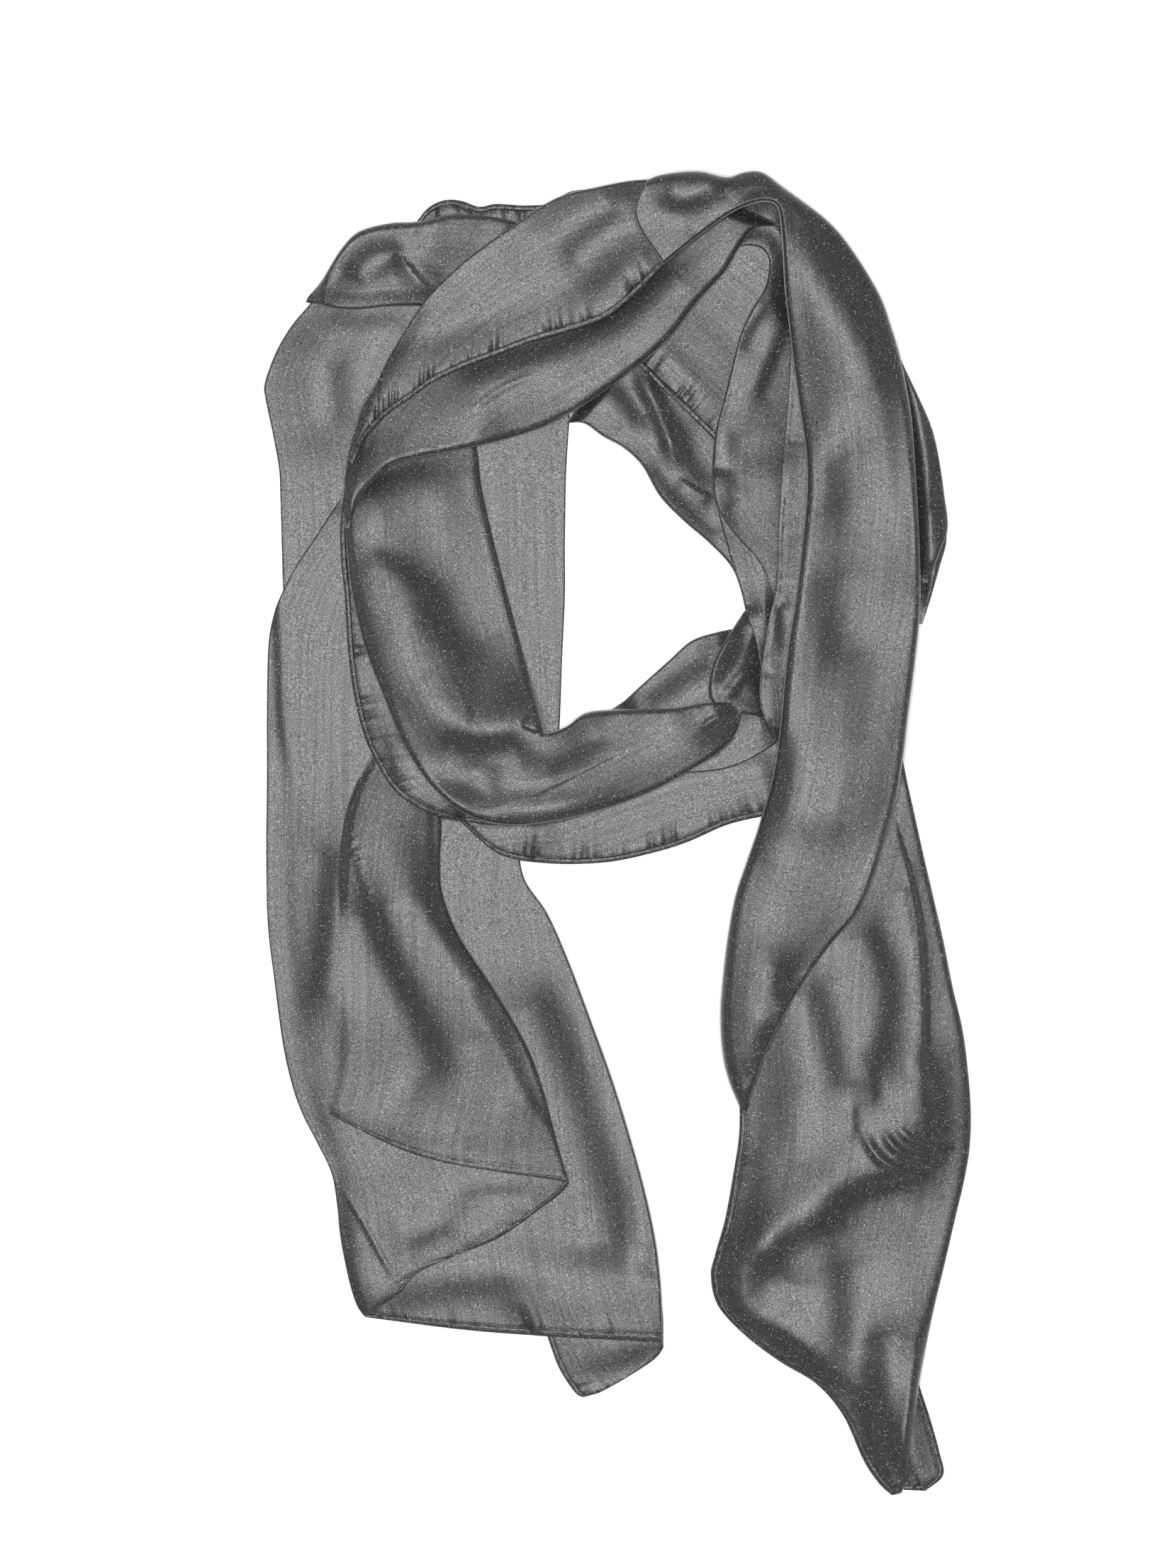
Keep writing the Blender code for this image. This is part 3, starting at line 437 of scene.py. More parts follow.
# %% Folds of the right tail
RIGHT_TAIL_FOLDS = {
    "right_tail_front": (
        slope(3.4, 4.2, (925, 275), (950, 290), (975, 290), (1005, 276), (1035, 256)),
        slope(2.6, 3.2,
            (1110, 300), (1090, 280), (1068, 280), (1040, 300), (1005, 335), (960, 348)),
        slope(9.5, 11.5,
            (1268, 580), (1243, 500), (1213, 435), (1175, 374), (1131, 316), (1104, 294)),
        slope(3.6, 8.0, (1174, 735), (1180, 690), (1168, 645)),
        slope(4.0, 10.0, (1180, 945), (1162, 875), (1148, 805)),
        slope(1.7, 5.5,
            (1256, 700), (1262, 800), (1258, 900), (1246, 1010), (1228, 1100), reach=60.0),
        slope(3.0, 6.0, (1120, 1010), (1106, 1090), (1082, 1170), (1060, 1240), reach=60.0),
        slope(4.6, 11.0, (1085, 1160), (1145, 1178), (1205, 1165), reach=48.0),
        slope(4.2, 4.2, (1120, 1425), (1108, 1402), (1105, 1378), (1109, 1356)),
        slope(2.0, 4.0, (1072, 1500), (1075, 1470), (1090, 1442)),
    ),
    "right_tail_back": (
        slope(4.6, 7.5, (1186, 1555), (1174, 1485), (1158, 1418), (1140, 1370)),
        slope(3.2, 5.0,
            (1215, 1285), (1236, 1325), (1250, 1365), (1256, 1410), (1250, 1460), (1236, 1520)),
        lap(2.6, 2.0,
            (1303, 1575), (1308, 1475), (1305, 1347), (1293, 1260), (1272, 1185), (1261, 1144)),
        slope(2.2, 3.2, (1297, 1550), (1300, 1460), (1297, 1360), (1285, 1280), (1268, 1205)),
        slope(2.6, 4.2, (1320, 1588), (1316, 1545), (1312, 1505), reach=14.0),
        ridge(1.6, 1.9, (1216, 1592), (1228, 1618), (1249, 1641), (1280, 1653), (1322, 1657)),
        ridge(1.4, 1.7, (1242, 1588), (1255, 1611), (1275, 1628), (1303, 1636), (1338, 1638)),
        ridge(1.1, 1.5, (1261, 1582), (1275, 1600), (1294, 1612), (1320, 1618), (1350, 1616)),
        slope(1.1, 1.6, (1206, 1556), (1208, 1580), (1208, 1605)),
        slope(1.1, 1.8, (1231, 1500), (1235, 1530), (1236, 1560)),
        slope(4.2, (6.6, 3.2),
            (1165, 1706), (1190, 1691), (1218, 1677), (1248, 1670), (1276, 1667)),
        slope(4.6, (7.0, 6.5),
            (1034, 1800), (1056, 1776), (1105, 1745), (1160, 1726), (1195, 1712)),
        slope(5.4, 7.5,
            (1068, 1872), (1056, 1835), (1058, 1805), (1074, 1785), (1100, 1768), reach=14.0),
        slope(2.6, 7.0, (1085, 1770), (1092, 1700), (1100, 1610)),
        slope(3.8, 7.5, (1205, 1915), (1190, 1870), (1184, 1805), (1186, 1765)),
        slope(2.0, 3.4, (1024, 1805), (1038, 1838), (1065, 1866), (1105, 1892), (1160, 1925)),
        slope(5.4, 7.5, (1232, 1850), (1236, 1920), (1242, 1984), (1250, 2040), (1258, 2085)),
        ridge(0.8, 3.5, (1300, 1840), (1290, 1930), (1278, 2020), (1270, 2085)),
    ),
    "right_tail_rear_corner": (
        slope(3.0, 6.0, (1303, 2095), (1302, 2020), (1296, 1950)),
    ),
}
FOLDS = {**LEFT_TAIL_FOLDS, **NECK_FOLDS, **LOOP_FOLDS, **RIGHT_TAIL_FOLDS}
print("folds in all:", sum(map(len, FOLDS.values())))

# %% [markdown]
# A curve through the drawn rows has to be smooth, or the satin would show every corner. A
# Catmull-Rom spline passes through each row and needs no handles, so it suits a short table.

# %% A smooth curve through rows
SPLINE_PARTS = 16


def spline(rows):
    """Many rows on a smooth curve through the given rows of numbers."""
    ends = np.vstack((2 * rows[0] - rows[1], rows, 2 * rows[-1] - rows[-2]))
    fine = []
    for before, start, stop, after in zip(ends, ends[1:], ends[2:], ends[3:]):
        for t in np.linspace(0.0, 1.0, SPLINE_PARTS, endpoint=False):
            bend = (2 * before - 5 * start + 4 * stop - after) * t**2
            twist = (3 * start - before - 3 * stop + after) * t**3
            fine.append(0.5 * (2 * start + (stop - before) * t + bend + twist))
    fine.append(rows[-1])
    return np.array(fine)


def travelled(line):
    """The distance along a line at each of its points."""
    return np.r_[0.0, np.cumsum(np.linalg.norm(np.diff(line, axis=0), axis=1))]


def read_at(rows, places, wanted):
    """Rows read between their places, at the places wanted."""
    flat = rows.reshape(len(rows), -1)
    columns = [np.interp(wanted, places, column) for column in flat.T]
    return np.stack(columns, axis=1).reshape(len(wanted), *rows.shape[1:])


print("each part of a curve gets", SPLINE_PARTS, "points")

# %% [markdown]
# A sheet is then a grid of points. The grid is even in the middle and finer beside each edge,
# because a hem's bead and a fold's turn are only a few millimetres wide.

# %% The grid of one sheet
GRID_PITCH = 1.0
FEWEST_LINES = 4
LINES_IN_BANDS = 6
WIDE_ROW_PERCENT = 80
BAND_SHARE = 0.8
HEM_BAND = np.array((0.0, 0.12, 0.4, 0.8, 1.25, 1.7, 2.1, 2.4, 2.6, 2.9, 3.5, 4.3))
TUCKED_BAND = np.array((0.0, 1.0, 2.0))
FOLD_TURN = np.array((0.0, 0.02, 0.08, 0.18, 0.32, 0.5, 0.72, 1.0, 1.3))


def edge_band(edge):
    """Distances from an edge at which the grid has lines."""
    if edge.kind == "hem":
        return HEM_BAND
    if edge.kind == "fold":
        return FOLD_TURN * edge.width
    return TUCKED_BAND


def across_places(width, first, last, middle_count):
    """Places from one edge to the other, with fixed bands at both edges, for each row's width."""
    shrink = np.minimum(1.0, BAND_SHARE * width / (first[-1] + last[-1]))[:, None]
    near = shrink * first
    far = width[:, None] - shrink * last[::-1]
    share = np.linspace(0.0, 1.0, middle_count + 2)[1:-1]
    middle = near[:, -1:] + (far[:, :1] - near[:, -1:]) * share
    return np.hstack((near, middle, far))


def lines_over(size):
    """How many even lines the grid has between its edge bands."""
    return max(FEWEST_LINES, round(float(size) / GRID_PITCH) - LINES_IN_BANDS)


def with_middle(row):
    """A section row of two points with their middle added, or one of three as it is."""
    middle = ((row[0] + row[2]) / 2, (row[1] + row[3]) / 2)
    return np.array(row if len(row) == 6 else (*row[:2], *middle, *row[2:]), float)


def sheet_grid(sheet):
    """The sheet's grid of points and each point's distance from the four edges."""
    sections = np.array([with_middle(row) for row in sheet.sections])
    sections = on_table(sections.reshape(len(sections), -1, 2))
    rows = spline(sections.reshape(len(sections), -1)).reshape(-1, *sections.shape[1:])
    places = travelled(rows.mean(axis=1))
    length = places[-1]
    bands = edge_band(sheet.start), edge_band(sheet.end)
    wanted = across_places(np.array([length]), *bands, lines_over(length))[0]
    rows = read_at(rows, places, wanted)
    widths = np.linalg.norm(np.diff(rows, axis=1), axis=2).sum(axis=1)
    columns = lines_over(np.percentile(widths, WIDE_ROW_PERCENT))
    across = across_places(widths, edge_band(sheet.left), edge_band(sheet.right), columns)
    points = np.empty((*across.shape, 2))
    for index, row in enumerate(rows):
        line = spline(row)
        run = travelled(line)
        points[index] = read_at(line, run, across[index] * run[-1] / widths[index])
    start = np.broadcast_to(wanted[:, None], across.shape)
    return points, (across, widths[:, None] - across, start, length - start)


print("grid pitch:", GRID_PITCH, "mm")

# %% [markdown]
# The height of the cloth comes from four things: what it rests on, the fall of the cloth at its
# edges, the drawn folds, and a faint unevenness that no real cloth is without. The unevenness
# is a sum of long slow waves in several directions, so that it never looks like one pattern.

# %% Distance from a line
SQUARENESS = 3.2
LINE_POINTS = 25
NEARNESS = 2.0
NEARNESS_POWER = 4


def smooth(share):
    """A share from 0 to 1 that starts and ends gently."""
    return share**2 * (3 - 2 * share)


def rounded(share):
    """A share from 0 to 1 that rises like the side of a squarish tube."""
    return (1.0 - (1.0 - share) ** SQUARENESS) ** (1 / SQUARENESS)


def along_line(points, line):
    """Signed distance from a line (more than 0 on its left) and how far along it, in mm."""
    places = travelled(line)
    spots = np.linspace(0.0, places[-1], LINE_POINTS)
    line = read_at(line, places, spots)
    heading = np.gradient(line, axis=0)
    heading /= np.linalg.norm(heading, axis=1, keepdims=True)
    weights = signed = run = 0.0
    for spot, point, (east, north) in zip(spots, line, heading):
        x, y = points[..., 0] - point[0], points[..., 1] - point[1]
        weight = (x**2 + y**2 + NEARNESS) ** -NEARNESS_POWER
        weights = weights + weight
        signed = signed + weight * (east * y - north * x)
        run = run + weight * (spot + east * x + north * y)
    return signed / weights, run / weights, places[-1]


print("points along each line:", LINE_POINTS)

# %% The height of a fold
TURN_EASE = 4.0
PATH_STRIDE = 4
SLOPE_INSET = 0.15
SLOPE_FAN = 0.8
SLOPE_FADE_SHARE = 0.5
SLOPE_FADE_PER_HEIGHT = 5.5
SLOPE_FADE_LEAST = 14.0
SLOPE_FADE_MOST = 45.0
FOLD_TAPER = 0.3
PUCKER_BEAT = 1.7
PUCKER_SWAY = 1.5
PUCKER_SWAY_BEAT = 0.23


def turn_height(distance, edge, share=0.0):
    """A rounded edge: steep at the rim, highest one width in, and slowly lower beyond."""
    size = 1 + (edge.last - 1) * share
    rise = np.clip(distance / (edge.width * size), 0.0, 1.0)
    beyond = np.maximum(distance / size - edge.width, 0.0)
    return edge.height * size * rounded(rise) * np.exp(-beyond / (TURN_EASE * edge.width))


def slope_height(fold, signed, run, length):
    """A slope: high on its left, steep at its path, and fanning out past both ends."""
    inset = SLOPE_INSET * length
    past = np.maximum(np.maximum(inset - run, run - length + inset), 0.0)
    first, last = np.broadcast_to(fold.width, 2)
    width = first + (last - first) * np.clip(run / length, 0.0, 1.0) + SLOPE_FAN * past
    rise = 0.5 * (1 + np.tanh(signed / width))
    fade = max(SLOPE_FADE_SHARE * length, SLOPE_FADE_PER_HEIGHT * fold.height, SLOPE_FADE_LEAST)
    fade = min(fade, SLOPE_FADE_MOST)
    keep = np.exp(-((np.maximum(signed, 0.0) / fold.reach) ** 2) - (past / fade) ** 2)
    return fold.height * rise * keep


def fold_height(points, sheet_name):
    """What the drawn folds add at each point."""
    total = np.zeros(points.shape[:-1])
    for fold in FOLDS.get(sheet_name, ()):
        line = spline(on_table(fold.path))[::PATH_STRIDE]
        signed, run, length = along_line(points, line)
        if fold.kind == "slope":
            total += slope_height(fold, signed, run, length)
            continue
        fade = smooth(np.clip(np.minimum(run, length - run) / (FOLD_TAPER * length), 0.0, 1.0))
        if fold.kind == "lap":
            step = Edge("fold", fold.height, fold.width)
            total += fade * turn_height(np.maximum(signed, 0.0), step)
            continue
        if fold.kind == "pucker":
            beat = run * PUCKER_BEAT + PUCKER_SWAY * np.sin(run * PUCKER_SWAY_BEAT)
            fade = fade * np.maximum(np.sin(beat), 0.0)
        total += fold.height * fade * np.exp(-((signed / fold.width) ** 2))
    return total


print("slopes fade out over", SLOPE_FADE_LEAST, "to", SLOPE_FADE_MOST, "mm")

# %% Unevenness
WAVES = 7
WAVE_TURN = 2.399
SEED_TURN = 1.7
WAVE_SHORTEST = 0.7
WAVE_LENGTHENING = 0.13
WAVE_PHASE = 1.9
SEED_PHASE = 3.1
WAVE_BEND = 0.25
WAVE_BEND_LENGTH = 2.3


def uneven(points, wavelength, seed):
    """Slow waves in several directions, between about -1 and 1."""
    total = np.zeros(points.shape[:-1])
    for number in range(WAVES):
        angle = seed * SEED_TURN + number * WAVE_TURN
        east, north = math.cos(angle), math.sin(angle)
        length = wavelength * (WAVE_SHORTEST + WAVE_LENGTHENING * number)
        phase = seed * SEED_PHASE + number * WAVE_PHASE
        along = points[..., 0] * east + points[..., 1] * north
        cross = points[..., 1] * east - points[..., 0] * north
        bend = np.sin(cross * 2 * math.pi / (WAVE_BEND_LENGTH * wavelength) + phase)
        bent = along + WAVE_BEND * wavelength * bend
        total += np.sin(bent * 2 * math.pi / length + phase)
    return total / math.sqrt(WAVES)


print("waves in the unevenness:", WAVES)

# %% [markdown]
# Next is the fall at the edges. A fold starts low, rises steeply and levels out. A hem lies
# close to what is under it and carries a rounded bead, with little gathers where the stitching
# draws the cloth in. Both are functions of the distance from the edge.

# %% The fall at the edges
HEM_REST = 0.4
HEM_FALL = 1.7
HEM_FOLD_REST = 0.5
FOLD_EASE = 26.0


def four_edges(sheet, edges):
    """Each edge of a sheet, after the distance from it and the run along it."""
    left, right, start, end = edges
    return (
        (left, start, sheet.left),
        (right, start, sheet.right),
        (start, left, sheet.start),
        (end, left, sheet.end),
    )


def edge_fall(distance, edge, share):
    """How much of the cloth's own height is left near an edge, from 0 to 1."""
    hem = edge.kind == "hem"
    width = edge.width * (1 + (edge.last - 1) * share) * (HEM_FALL if hem else 1.0)
    rise = np.clip(distance / width, 0.0, 1.0)
    if edge.kind == "fold":
        return rounded(rise)
    least = HEM_REST if hem else 0.0
    return least + (1 - least) * smooth(rise)


def hem_ease(distance):
    """How much of a drawn fold is left near a hem: it fades slowly, as the hem is stiffer."""
    near = np.clip(distance / FOLD_EASE, 0.0, 1.0)
    return HEM_FOLD_REST + (1 - HEM_FOLD_REST) * smooth(near)


print("folds ease off over", FOLD_EASE, "mm beside a hem")

# %% The hem's bead and gathers
# A bead wave has a size, a beat along the hem and a turn from sheet to sheet. A gather wave has
# a beat, and a sway with a slower beat, so that no two gathers are the same.
BEAD_WAVES = ((0.22, 1.9, 1), (0.16, 0.83, 2))
GATHER_WAVES = ((1.25, 1.3, 0.31), (0.52, 2.1, 0.17))
GATHER_DRIFT = (0.21, 1.7)
GATHER_SPARSE = 1.1
GATHER_REACH = 6.5
GATHER_FADE = 1.6
GATHER_LEAST = 0.1
GATHER_MORE = 0.56


def hem_height(distance, along, edge, seed):
    """The bead of a rolled hem and the gathers beside it."""
    across = np.clip(2 * distance / edge.width - 1, -1.0, 1.0)
    plump = 1.0
    for size, beat, turn in BEAD_WAVES:
        plump = plump + size * np.sin(along * beat + turn * seed)
    bead = edge.height * plump * np.sqrt(np.clip(1 - across**4, 0.0, 1.0))
    drift_beat, drift_turn = GATHER_DRIFT
    pull = np.sin(along * drift_beat + drift_turn * seed)
    for beat, sway, sway_beat in GATHER_WAVES:
        pull = pull + np.sin(along * beat + sway * np.sin(along * sway_beat + seed))
    pull = np.maximum(pull - GATHER_SPARSE * (1 - edge.gather), 0.0)
    share = np.exp(-((distance - edge.width) / GATHER_REACH).clip(0) * GATHER_FADE)
    depth = GATHER_LEAST + GATHER_MORE * edge.gather
    return bead - depth * pull * share * (distance > edge.width)


print("gathers reach", GATHER_REACH, "mm in from a hem")

# %% The height of a sheet
LOWEST = 0.05
LEAST_WIDTH = 0.1
ROLL_EASE = 1.5
UNEVEN_HEIGHT = 0.25
UNEVEN_LENGTH = 70.0


def sheet_height(sheet, points, edges, seed):
    """How high the sheet's face is above what it rests on."""
    left, right = edges[:2]
    width = np.maximum(left + right, LEAST_WIDTH)
    height = sheet.rise + sheet.crown * 4 * left * right / width**2
    height += UNEVEN_HEIGHT * uneven(points, UNEVEN_LENGTH, seed)
    folds = fold_height(points, sheet.name)
    fall = 1.0
    rolls = hems = 0.0
    for distance, along, edge in four_edges(sheet, edges):
        share = along / np.maximum(along.max(), 1.0)
        own = edge_fall(distance, edge, share)
        fall = fall * own
        if edge.kind == "hem":
            folds = folds * hem_ease(distance)
            hems = hems + hem_height(distance, along, edge, seed)
        else:
            folds = folds * own
        if edge.kind == "fold":
            rolls = rolls + turn_height(distance, edge, share)
    rolls = rolls * np.minimum(fall * ROLL_EASE, 1.0)
    return np.maximum(height * fall + folds + rolls + hems, LOWEST)


print("no cloth is lower than", LOWEST, "mm over its rest")

# %% [markdown]
# The sheets are laid in order from the table up. A height map keeps the highest cloth so far,
# one cell every half millimetre. Before a sheet is laid, the map is widened and then blurred,
# so that the sheet eases over the edges below it as real cloth does and never cuts into them.
# A sheet that bridges is also raised towards the highest place of its row, so that a thick fold
# of cloth keeps its roundness over whatever lies under it.

# %% The height map
CELL = 0.5
MAP_HALF_X = 360
MAP_HALF_Y = 620
MAP_MARGIN = 4
CLEARANCE = 0.12
CLOSE_DRAPE = (7, 2)
WIDE_DRAPE = (20, 9)
EASE = 14.0
RIM_SHARE = 0.85
BRIDGE_PERCENT = 95
BRIDGE_BLUR = 30
BRIDGE_ROUND = 2.5
BLUR_PASSES = 3
UPSAMPLE = 4

laid = np.zeros((2 * MAP_HALF_Y + 1, 2 * MAP_HALF_X + 1))


def widened(values, reach):
    """Each cell takes the highest value within reach of it."""
    for axis in (0, 1):
        grown = values.copy()
        for shift in range(-reach, reach + 1):
            np.maximum(grown, np.roll(values, shift, axis=axis), out=grown)
        values = grown
    return values


def blurred(values, reach):
    """Each cell takes the mean of those within reach of it."""
    for axis in (0, 1):
        shifts = range(-reach, reach + 1)
        values = sum(np.roll(values, shift, axis=axis) for shift in shifts) / len(shifts)
    return values


def eased(floor, reach, blur):
    """The floor widened by a reach and then blurred, both in cells."""
    soft = widened(floor, reach)
    for _ in range(BLUR_PASSES):
        soft = blurred(soft, blur)
    return soft


def read_map(values, column, row):
    """The map read between its cells."""
    left = np.floor(column).astype(int)
    low = np.floor(row).astype(int)
    right_share = column - left
    up_share = row - low
    lower = values[low, left] * (1 - right_share) + values[low, left + 1] * right_share
    upper = values[low + 1, left] * (1 - right_share) + values[low + 1, left + 1] * right_share
    return lower * (1 - up_share) + upper * up_share


def bridged(wide, share):
    """The rest raised towards the highest place of its row, as a thick fold of cloth bridges."""
    high = np.percentile(wide, BRIDGE_PERCENT, axis=1)
    pad = np.pad(high, BRIDGE_BLUR, mode="edge")
    kernel = np.hanning(2 * BRIDGE_BLUR + 3)[1:-1]
    high = np.convolve(pad, kernel / kernel.sum(), mode="valid")
    bridge = share * high[:, None]
    over = wide - bridge
    return bridge + 0.5 * (over + np.sqrt(over**2 + BRIDGE_ROUND**2))


def rest_height(points, from_edge, bridge):
    """How high the sheet rests, eased in its middle, and how high if it lay close all over."""
    column = points[..., 0] / CELL + MAP_HALF_X
    row = points[..., 1] / CELL + MAP_HALF_Y
    margin = sum(WIDE_DRAPE) + MAP_MARGIN
    left, low = int(column.min()) - margin, int(row.min()) - margin
    right, high = int(column.max()) + margin, int(row.max()) + margin
    window = laid[low:high, left:right]
    floor = np.where(window > 0, window + CLEARANCE, 0.0)
    close = read_map(eased(floor, *CLOSE_DRAPE), column - left, row - low)
    wide = read_map(eased(floor, *WIDE_DRAPE), column - left, row - low)
    share = smooth(np.clip(from_edge / EASE, 0.0, 1.0))
    if bridge > 0:
        wide = bridged(wide, bridge)
        share = RIM_SHARE + (1 - RIM_SHARE) * share
    return close + np.maximum(wide - close, 0.0) * share, close


def lay_on_map(points, top):
    """Raises the height map to the face of a sheet."""
    values = np.dstack((points, top))
    for axis in (0, 1):
        count = values.shape[axis]
        fine = np.linspace(0.0, count - 1.0, (count - 1) * UPSAMPLE + 1)
        base = np.minimum(fine.astype(int), count - 2)
        share = (fine - base).reshape((-1, 1, 1) if axis == 0 else (1, -1, 1))
        before, after = np.take(values, base, axis), np.take(values, base + 1, axis)
        values = before * (1 - share) + after * share
    column = np.rint(values[..., 0] / CELL).astype(int) + MAP_HALF_X
    row = np.rint(values[..., 1] / CELL).astype(int) + MAP_HALF_Y
    np.maximum.at(laid, (row.ravel(), column.ravel()), values[..., 2].ravel())


print("height map:", laid.shape)

# %% [markdown]
# At a fold the cloth turns under. The grid gets two more lines outside each fold edge, which
# step back in under the rim and down to the layer below, so that the edge looks round from the
# side and shows no slit.

# %% The turn under a fold
TURN_UNDER = ((0.10, 0.45), (0.45, 0.0))
LINES_INWARD = 12
TINY = 1e-6


def beside(grid, line, rim):
    """A grid with one more line outside its first or its last one."""
    line = line[:, None]
    return np.concatenate((line, grid) if rim == 0 else (grid, line), axis=1)


def turned_under(points, top, rest, edges, sheet):
    """Adds the lines that turn under at fold edges along both sides."""
    for rim, edge in ((0, sheet.left), (-1, sheet.right)):
        if edge.kind != "fold":
            continue
        lines = min(LINES_INWARD, points.shape[1] // 3)
        rim_points, rim_top, rim_rest = points[:, rim], top[:, rim], rest[:, rim]
        rim_edges = [distance[:, rim] for distance in edges]
        inward = points[:, lines if rim == 0 else -1 - lines] - rim_points
        inward /= np.maximum(np.linalg.norm(inward, axis=1, keepdims=True), TINY)
        for step_in, height_left in TURN_UNDER:
            points = beside(points, rim_points + inward * step_in * edge.width, rim)
            top = beside(top, rim_rest + (rim_top - rim_rest) * height_left, rim)
            rest = beside(rest, rim_rest, rim)
            edges = tuple(beside(grid, line, rim) for grid, line in zip(edges, rim_edges))
    return points, top, edges


print("lines that turn under at each fold:", len(TURN_UNDER))

# %% [markdown]
# Each sheet starts as a flat bmesh grid, and its points are then moved into place. It gets two
# UV maps in metres: one that follows the weave, and one that runs along the hem, for stitches.
# Its flat size is measured over its folds: the widest row and the length along the middle.

# %% Make one sheet
FAR_FROM_HEM = 50.0


def hem_place(edges, sheet):
    """The run along the nearest hem and the distance to it, in millimetres."""
    distance = np.full(edges[0].shape, FAR_FROM_HEM)
    run = np.zeros(edges[0].shape)
    for away, along, edge in four_edges(sheet, edges):
        if edge.kind == "hem":
            closer = away < distance
            distance = np.where(closer, away, distance)
            run = np.where(closer, along, run)
    return run, distance


def grid_mesh(name, points, top, weave, hem):
    """A grid mesh with its points moved into place."""
    rows, columns = top.shape
    shape = bmesh.new()
    bmesh.ops.create_grid(shape, x_segments=columns - 1, y_segments=rows - 1, size=0.5)
    mesh = bpy.data.meshes.new(name)
    shape.to_mesh(mesh)
    shape.free()
    flat = np.empty(len(mesh.vertices) * 3)
    mesh.vertices.foreach_get("co", flat)
    flat = flat.reshape(-1, 3)
    column = np.rint((flat[:, 0] + 0.5) * (columns - 1)).astype(int)
    row = np.rint((flat[:, 1] + 0.5) * (rows - 1)).astype(int)
    place = np.column_stack((points[row, column], top[row, column])) * METRE
    mesh.vertices.foreach_set("co", place.ravel())
    corners = np.empty(len(mesh.loops), int)
    mesh.loops.foreach_get("vertex_index", corners)
    for label, values in (("weave", weave), ("hem", hem)):
        layer = mesh.uv_layers.new(name=label)
        at_vertex = np.column_stack([value[row, column] for value in values]) * METRE
        layer.data.foreach_set("uv", at_vertex[corners].ravel())
    mesh.polygons.foreach_set("use_smooth", [True] * len(mesh.polygons))
    mesh.update()
    return mesh


def make_sheet(sheet, seed):
    """Lays one sheet and returns its object, its flat size and area, and its highest point."""
    points, edges = sheet_grid(sheet)
    down, over = points[1:, :-1] - points[:-1, :-1], points[:-1, 1:] - points[:-1, :-1]
    facing = (over[..., 0] * down[..., 1] - over[..., 1] * down[..., 0]).sum()
    rest, close = rest_height(points, np.minimum.reduce(edges), sheet.bridge)
    top = rest + sheet_height(sheet, points, edges, seed)
    lay_on_map(points, top)
    points, top, edges = turned_under(points, top, close, edges, sheet)
    weave = (edges[0], edges[2])
    mesh = grid_mesh(sheet.name + "_cloth", points, top, weave, hem_place(edges, sheet))
    if facing < 0:
        mesh.flip_normals()
    cloth = bpy.data.objects.new(sheet.name + "_cloth", mesh)
    bpy.context.scene.collection.objects.link(cloth)
    face = np.dstack((points, top)) * METRE
    widths = np.linalg.norm(np.diff(face, axis=1), axis=2).sum(axis=1)
    steps = np.linalg.norm(np.diff(face, axis=0), axis=2).mean(axis=1)
    flat = (float(widths.max()), float(steps.sum()))
    area = float((0.5 * (widths[1:] + widths[:-1]) * steps).sum())
    return cloth, flat, area, float(top.max())


# %% Lay every sheet
cloths = []
for number, sheet in enumerate(SHEETS):
    cloth, flat, area, highest = make_sheet(sheet, number + 1)
    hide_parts(*sheet.nodes)
    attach(cloth, "root")
    cloths.append(cloth)
    print(sheet.name, len(cloth.data.polygons) * 2, "triangles, up to", round(highest, 1), "mm")
print("all sheets:", sum(len(cloth.data.polygons) * 2 for cloth in cloths), "triangles")

# %% [markdown]
# The cloth is satin chiffon: a very thin satin weave of fine filament yarn. Its long floats lie
# side by side like hairs, so it is dark where it slopes away and bright where it faces the light.
# Under the broad sheen is a fine sparkle, from single floats that happen to face you. Real floats
# are too fine to show here, so the speckle is drawn as coarse as it needs to be: a speck is 0.43
# mm wide and a glint sits in a cell of 0.5 mm. The glints are painted highlights, bright spots put
# into the colour of the cloth. The streaks of the weave are 1.4 mm apart and 70 mm long. The
# stitches beside the hem are 1.6 mm long, measured in metres below.

# %% Colour and node helpers
def linear(hex_colour):
    """An sRGB hex colour as linear red, green, blue and alpha."""
    values = [int(hex_colour[i : i + 2], 16) / 255 for i in (1, 3, 5)]
    curve = [v / 12.92 if v <= 0.04045 else ((v + 0.055) / 1.055) ** 2.4 for v in values]
    return (*curve, 1.0)


def add_node(tree, kind, settings=None, inputs=None, links=None):
    """Adds a shader node with its settings, its input values and its incoming links."""
    node = tree.nodes.new(kind)
    for name, value in (settings or {}).items():
        setattr(node, name, value)
    for name, value in (inputs or {}).items():
        node.inputs[name].default_value = value
    for name, source in (links or {}).items():
        tree.links.new(source, node.inputs[name])
    return node


print("mid grey in linear light:", round(linear("#808080")[0], 3))

# %% Speckle, painted glints and streaks of the floats
SPECKLES_PER_METRE = 2300.0
GLINTS_PER_METRE = 2000.0
GLINT_RARE = 0.95
GLINT_SIZE = 0.42
STREAKS_PER_METRE = (700.0, 14.0, 1.0)
satin = bpy.data.materials.new("satin_chiffon")
satin.use_nodes = True
tree = satin.node_tree
tree.nodes.clear()
place = add_node(tree, "ShaderNodeTexCoord").outputs["Object"]
speckle = add_node(
    tree, "ShaderNodeTexNoise", {"noise_dimensions": "3D"},
    {"Scale": SPECKLES_PER_METRE, "Detail": 2.0, "Roughness": 0.7}, {"Vector": place},
).outputs["Fac"]
speckle_share = add_node(
    tree, "ShaderNodeMapRange", {}, {"From Min": 0.38, "From Max": 0.62}, {"Value": speckle}
).outputs["Result"]
# The glints are painted highlights: in rare Voronoi cells a small spot of the cloth's colour is
# made bright.
glints = add_node(
    tree, "ShaderNodeTexVoronoi", {}, {"Scale": GLINTS_PER_METRE}, {"Vector": place}
).outputs
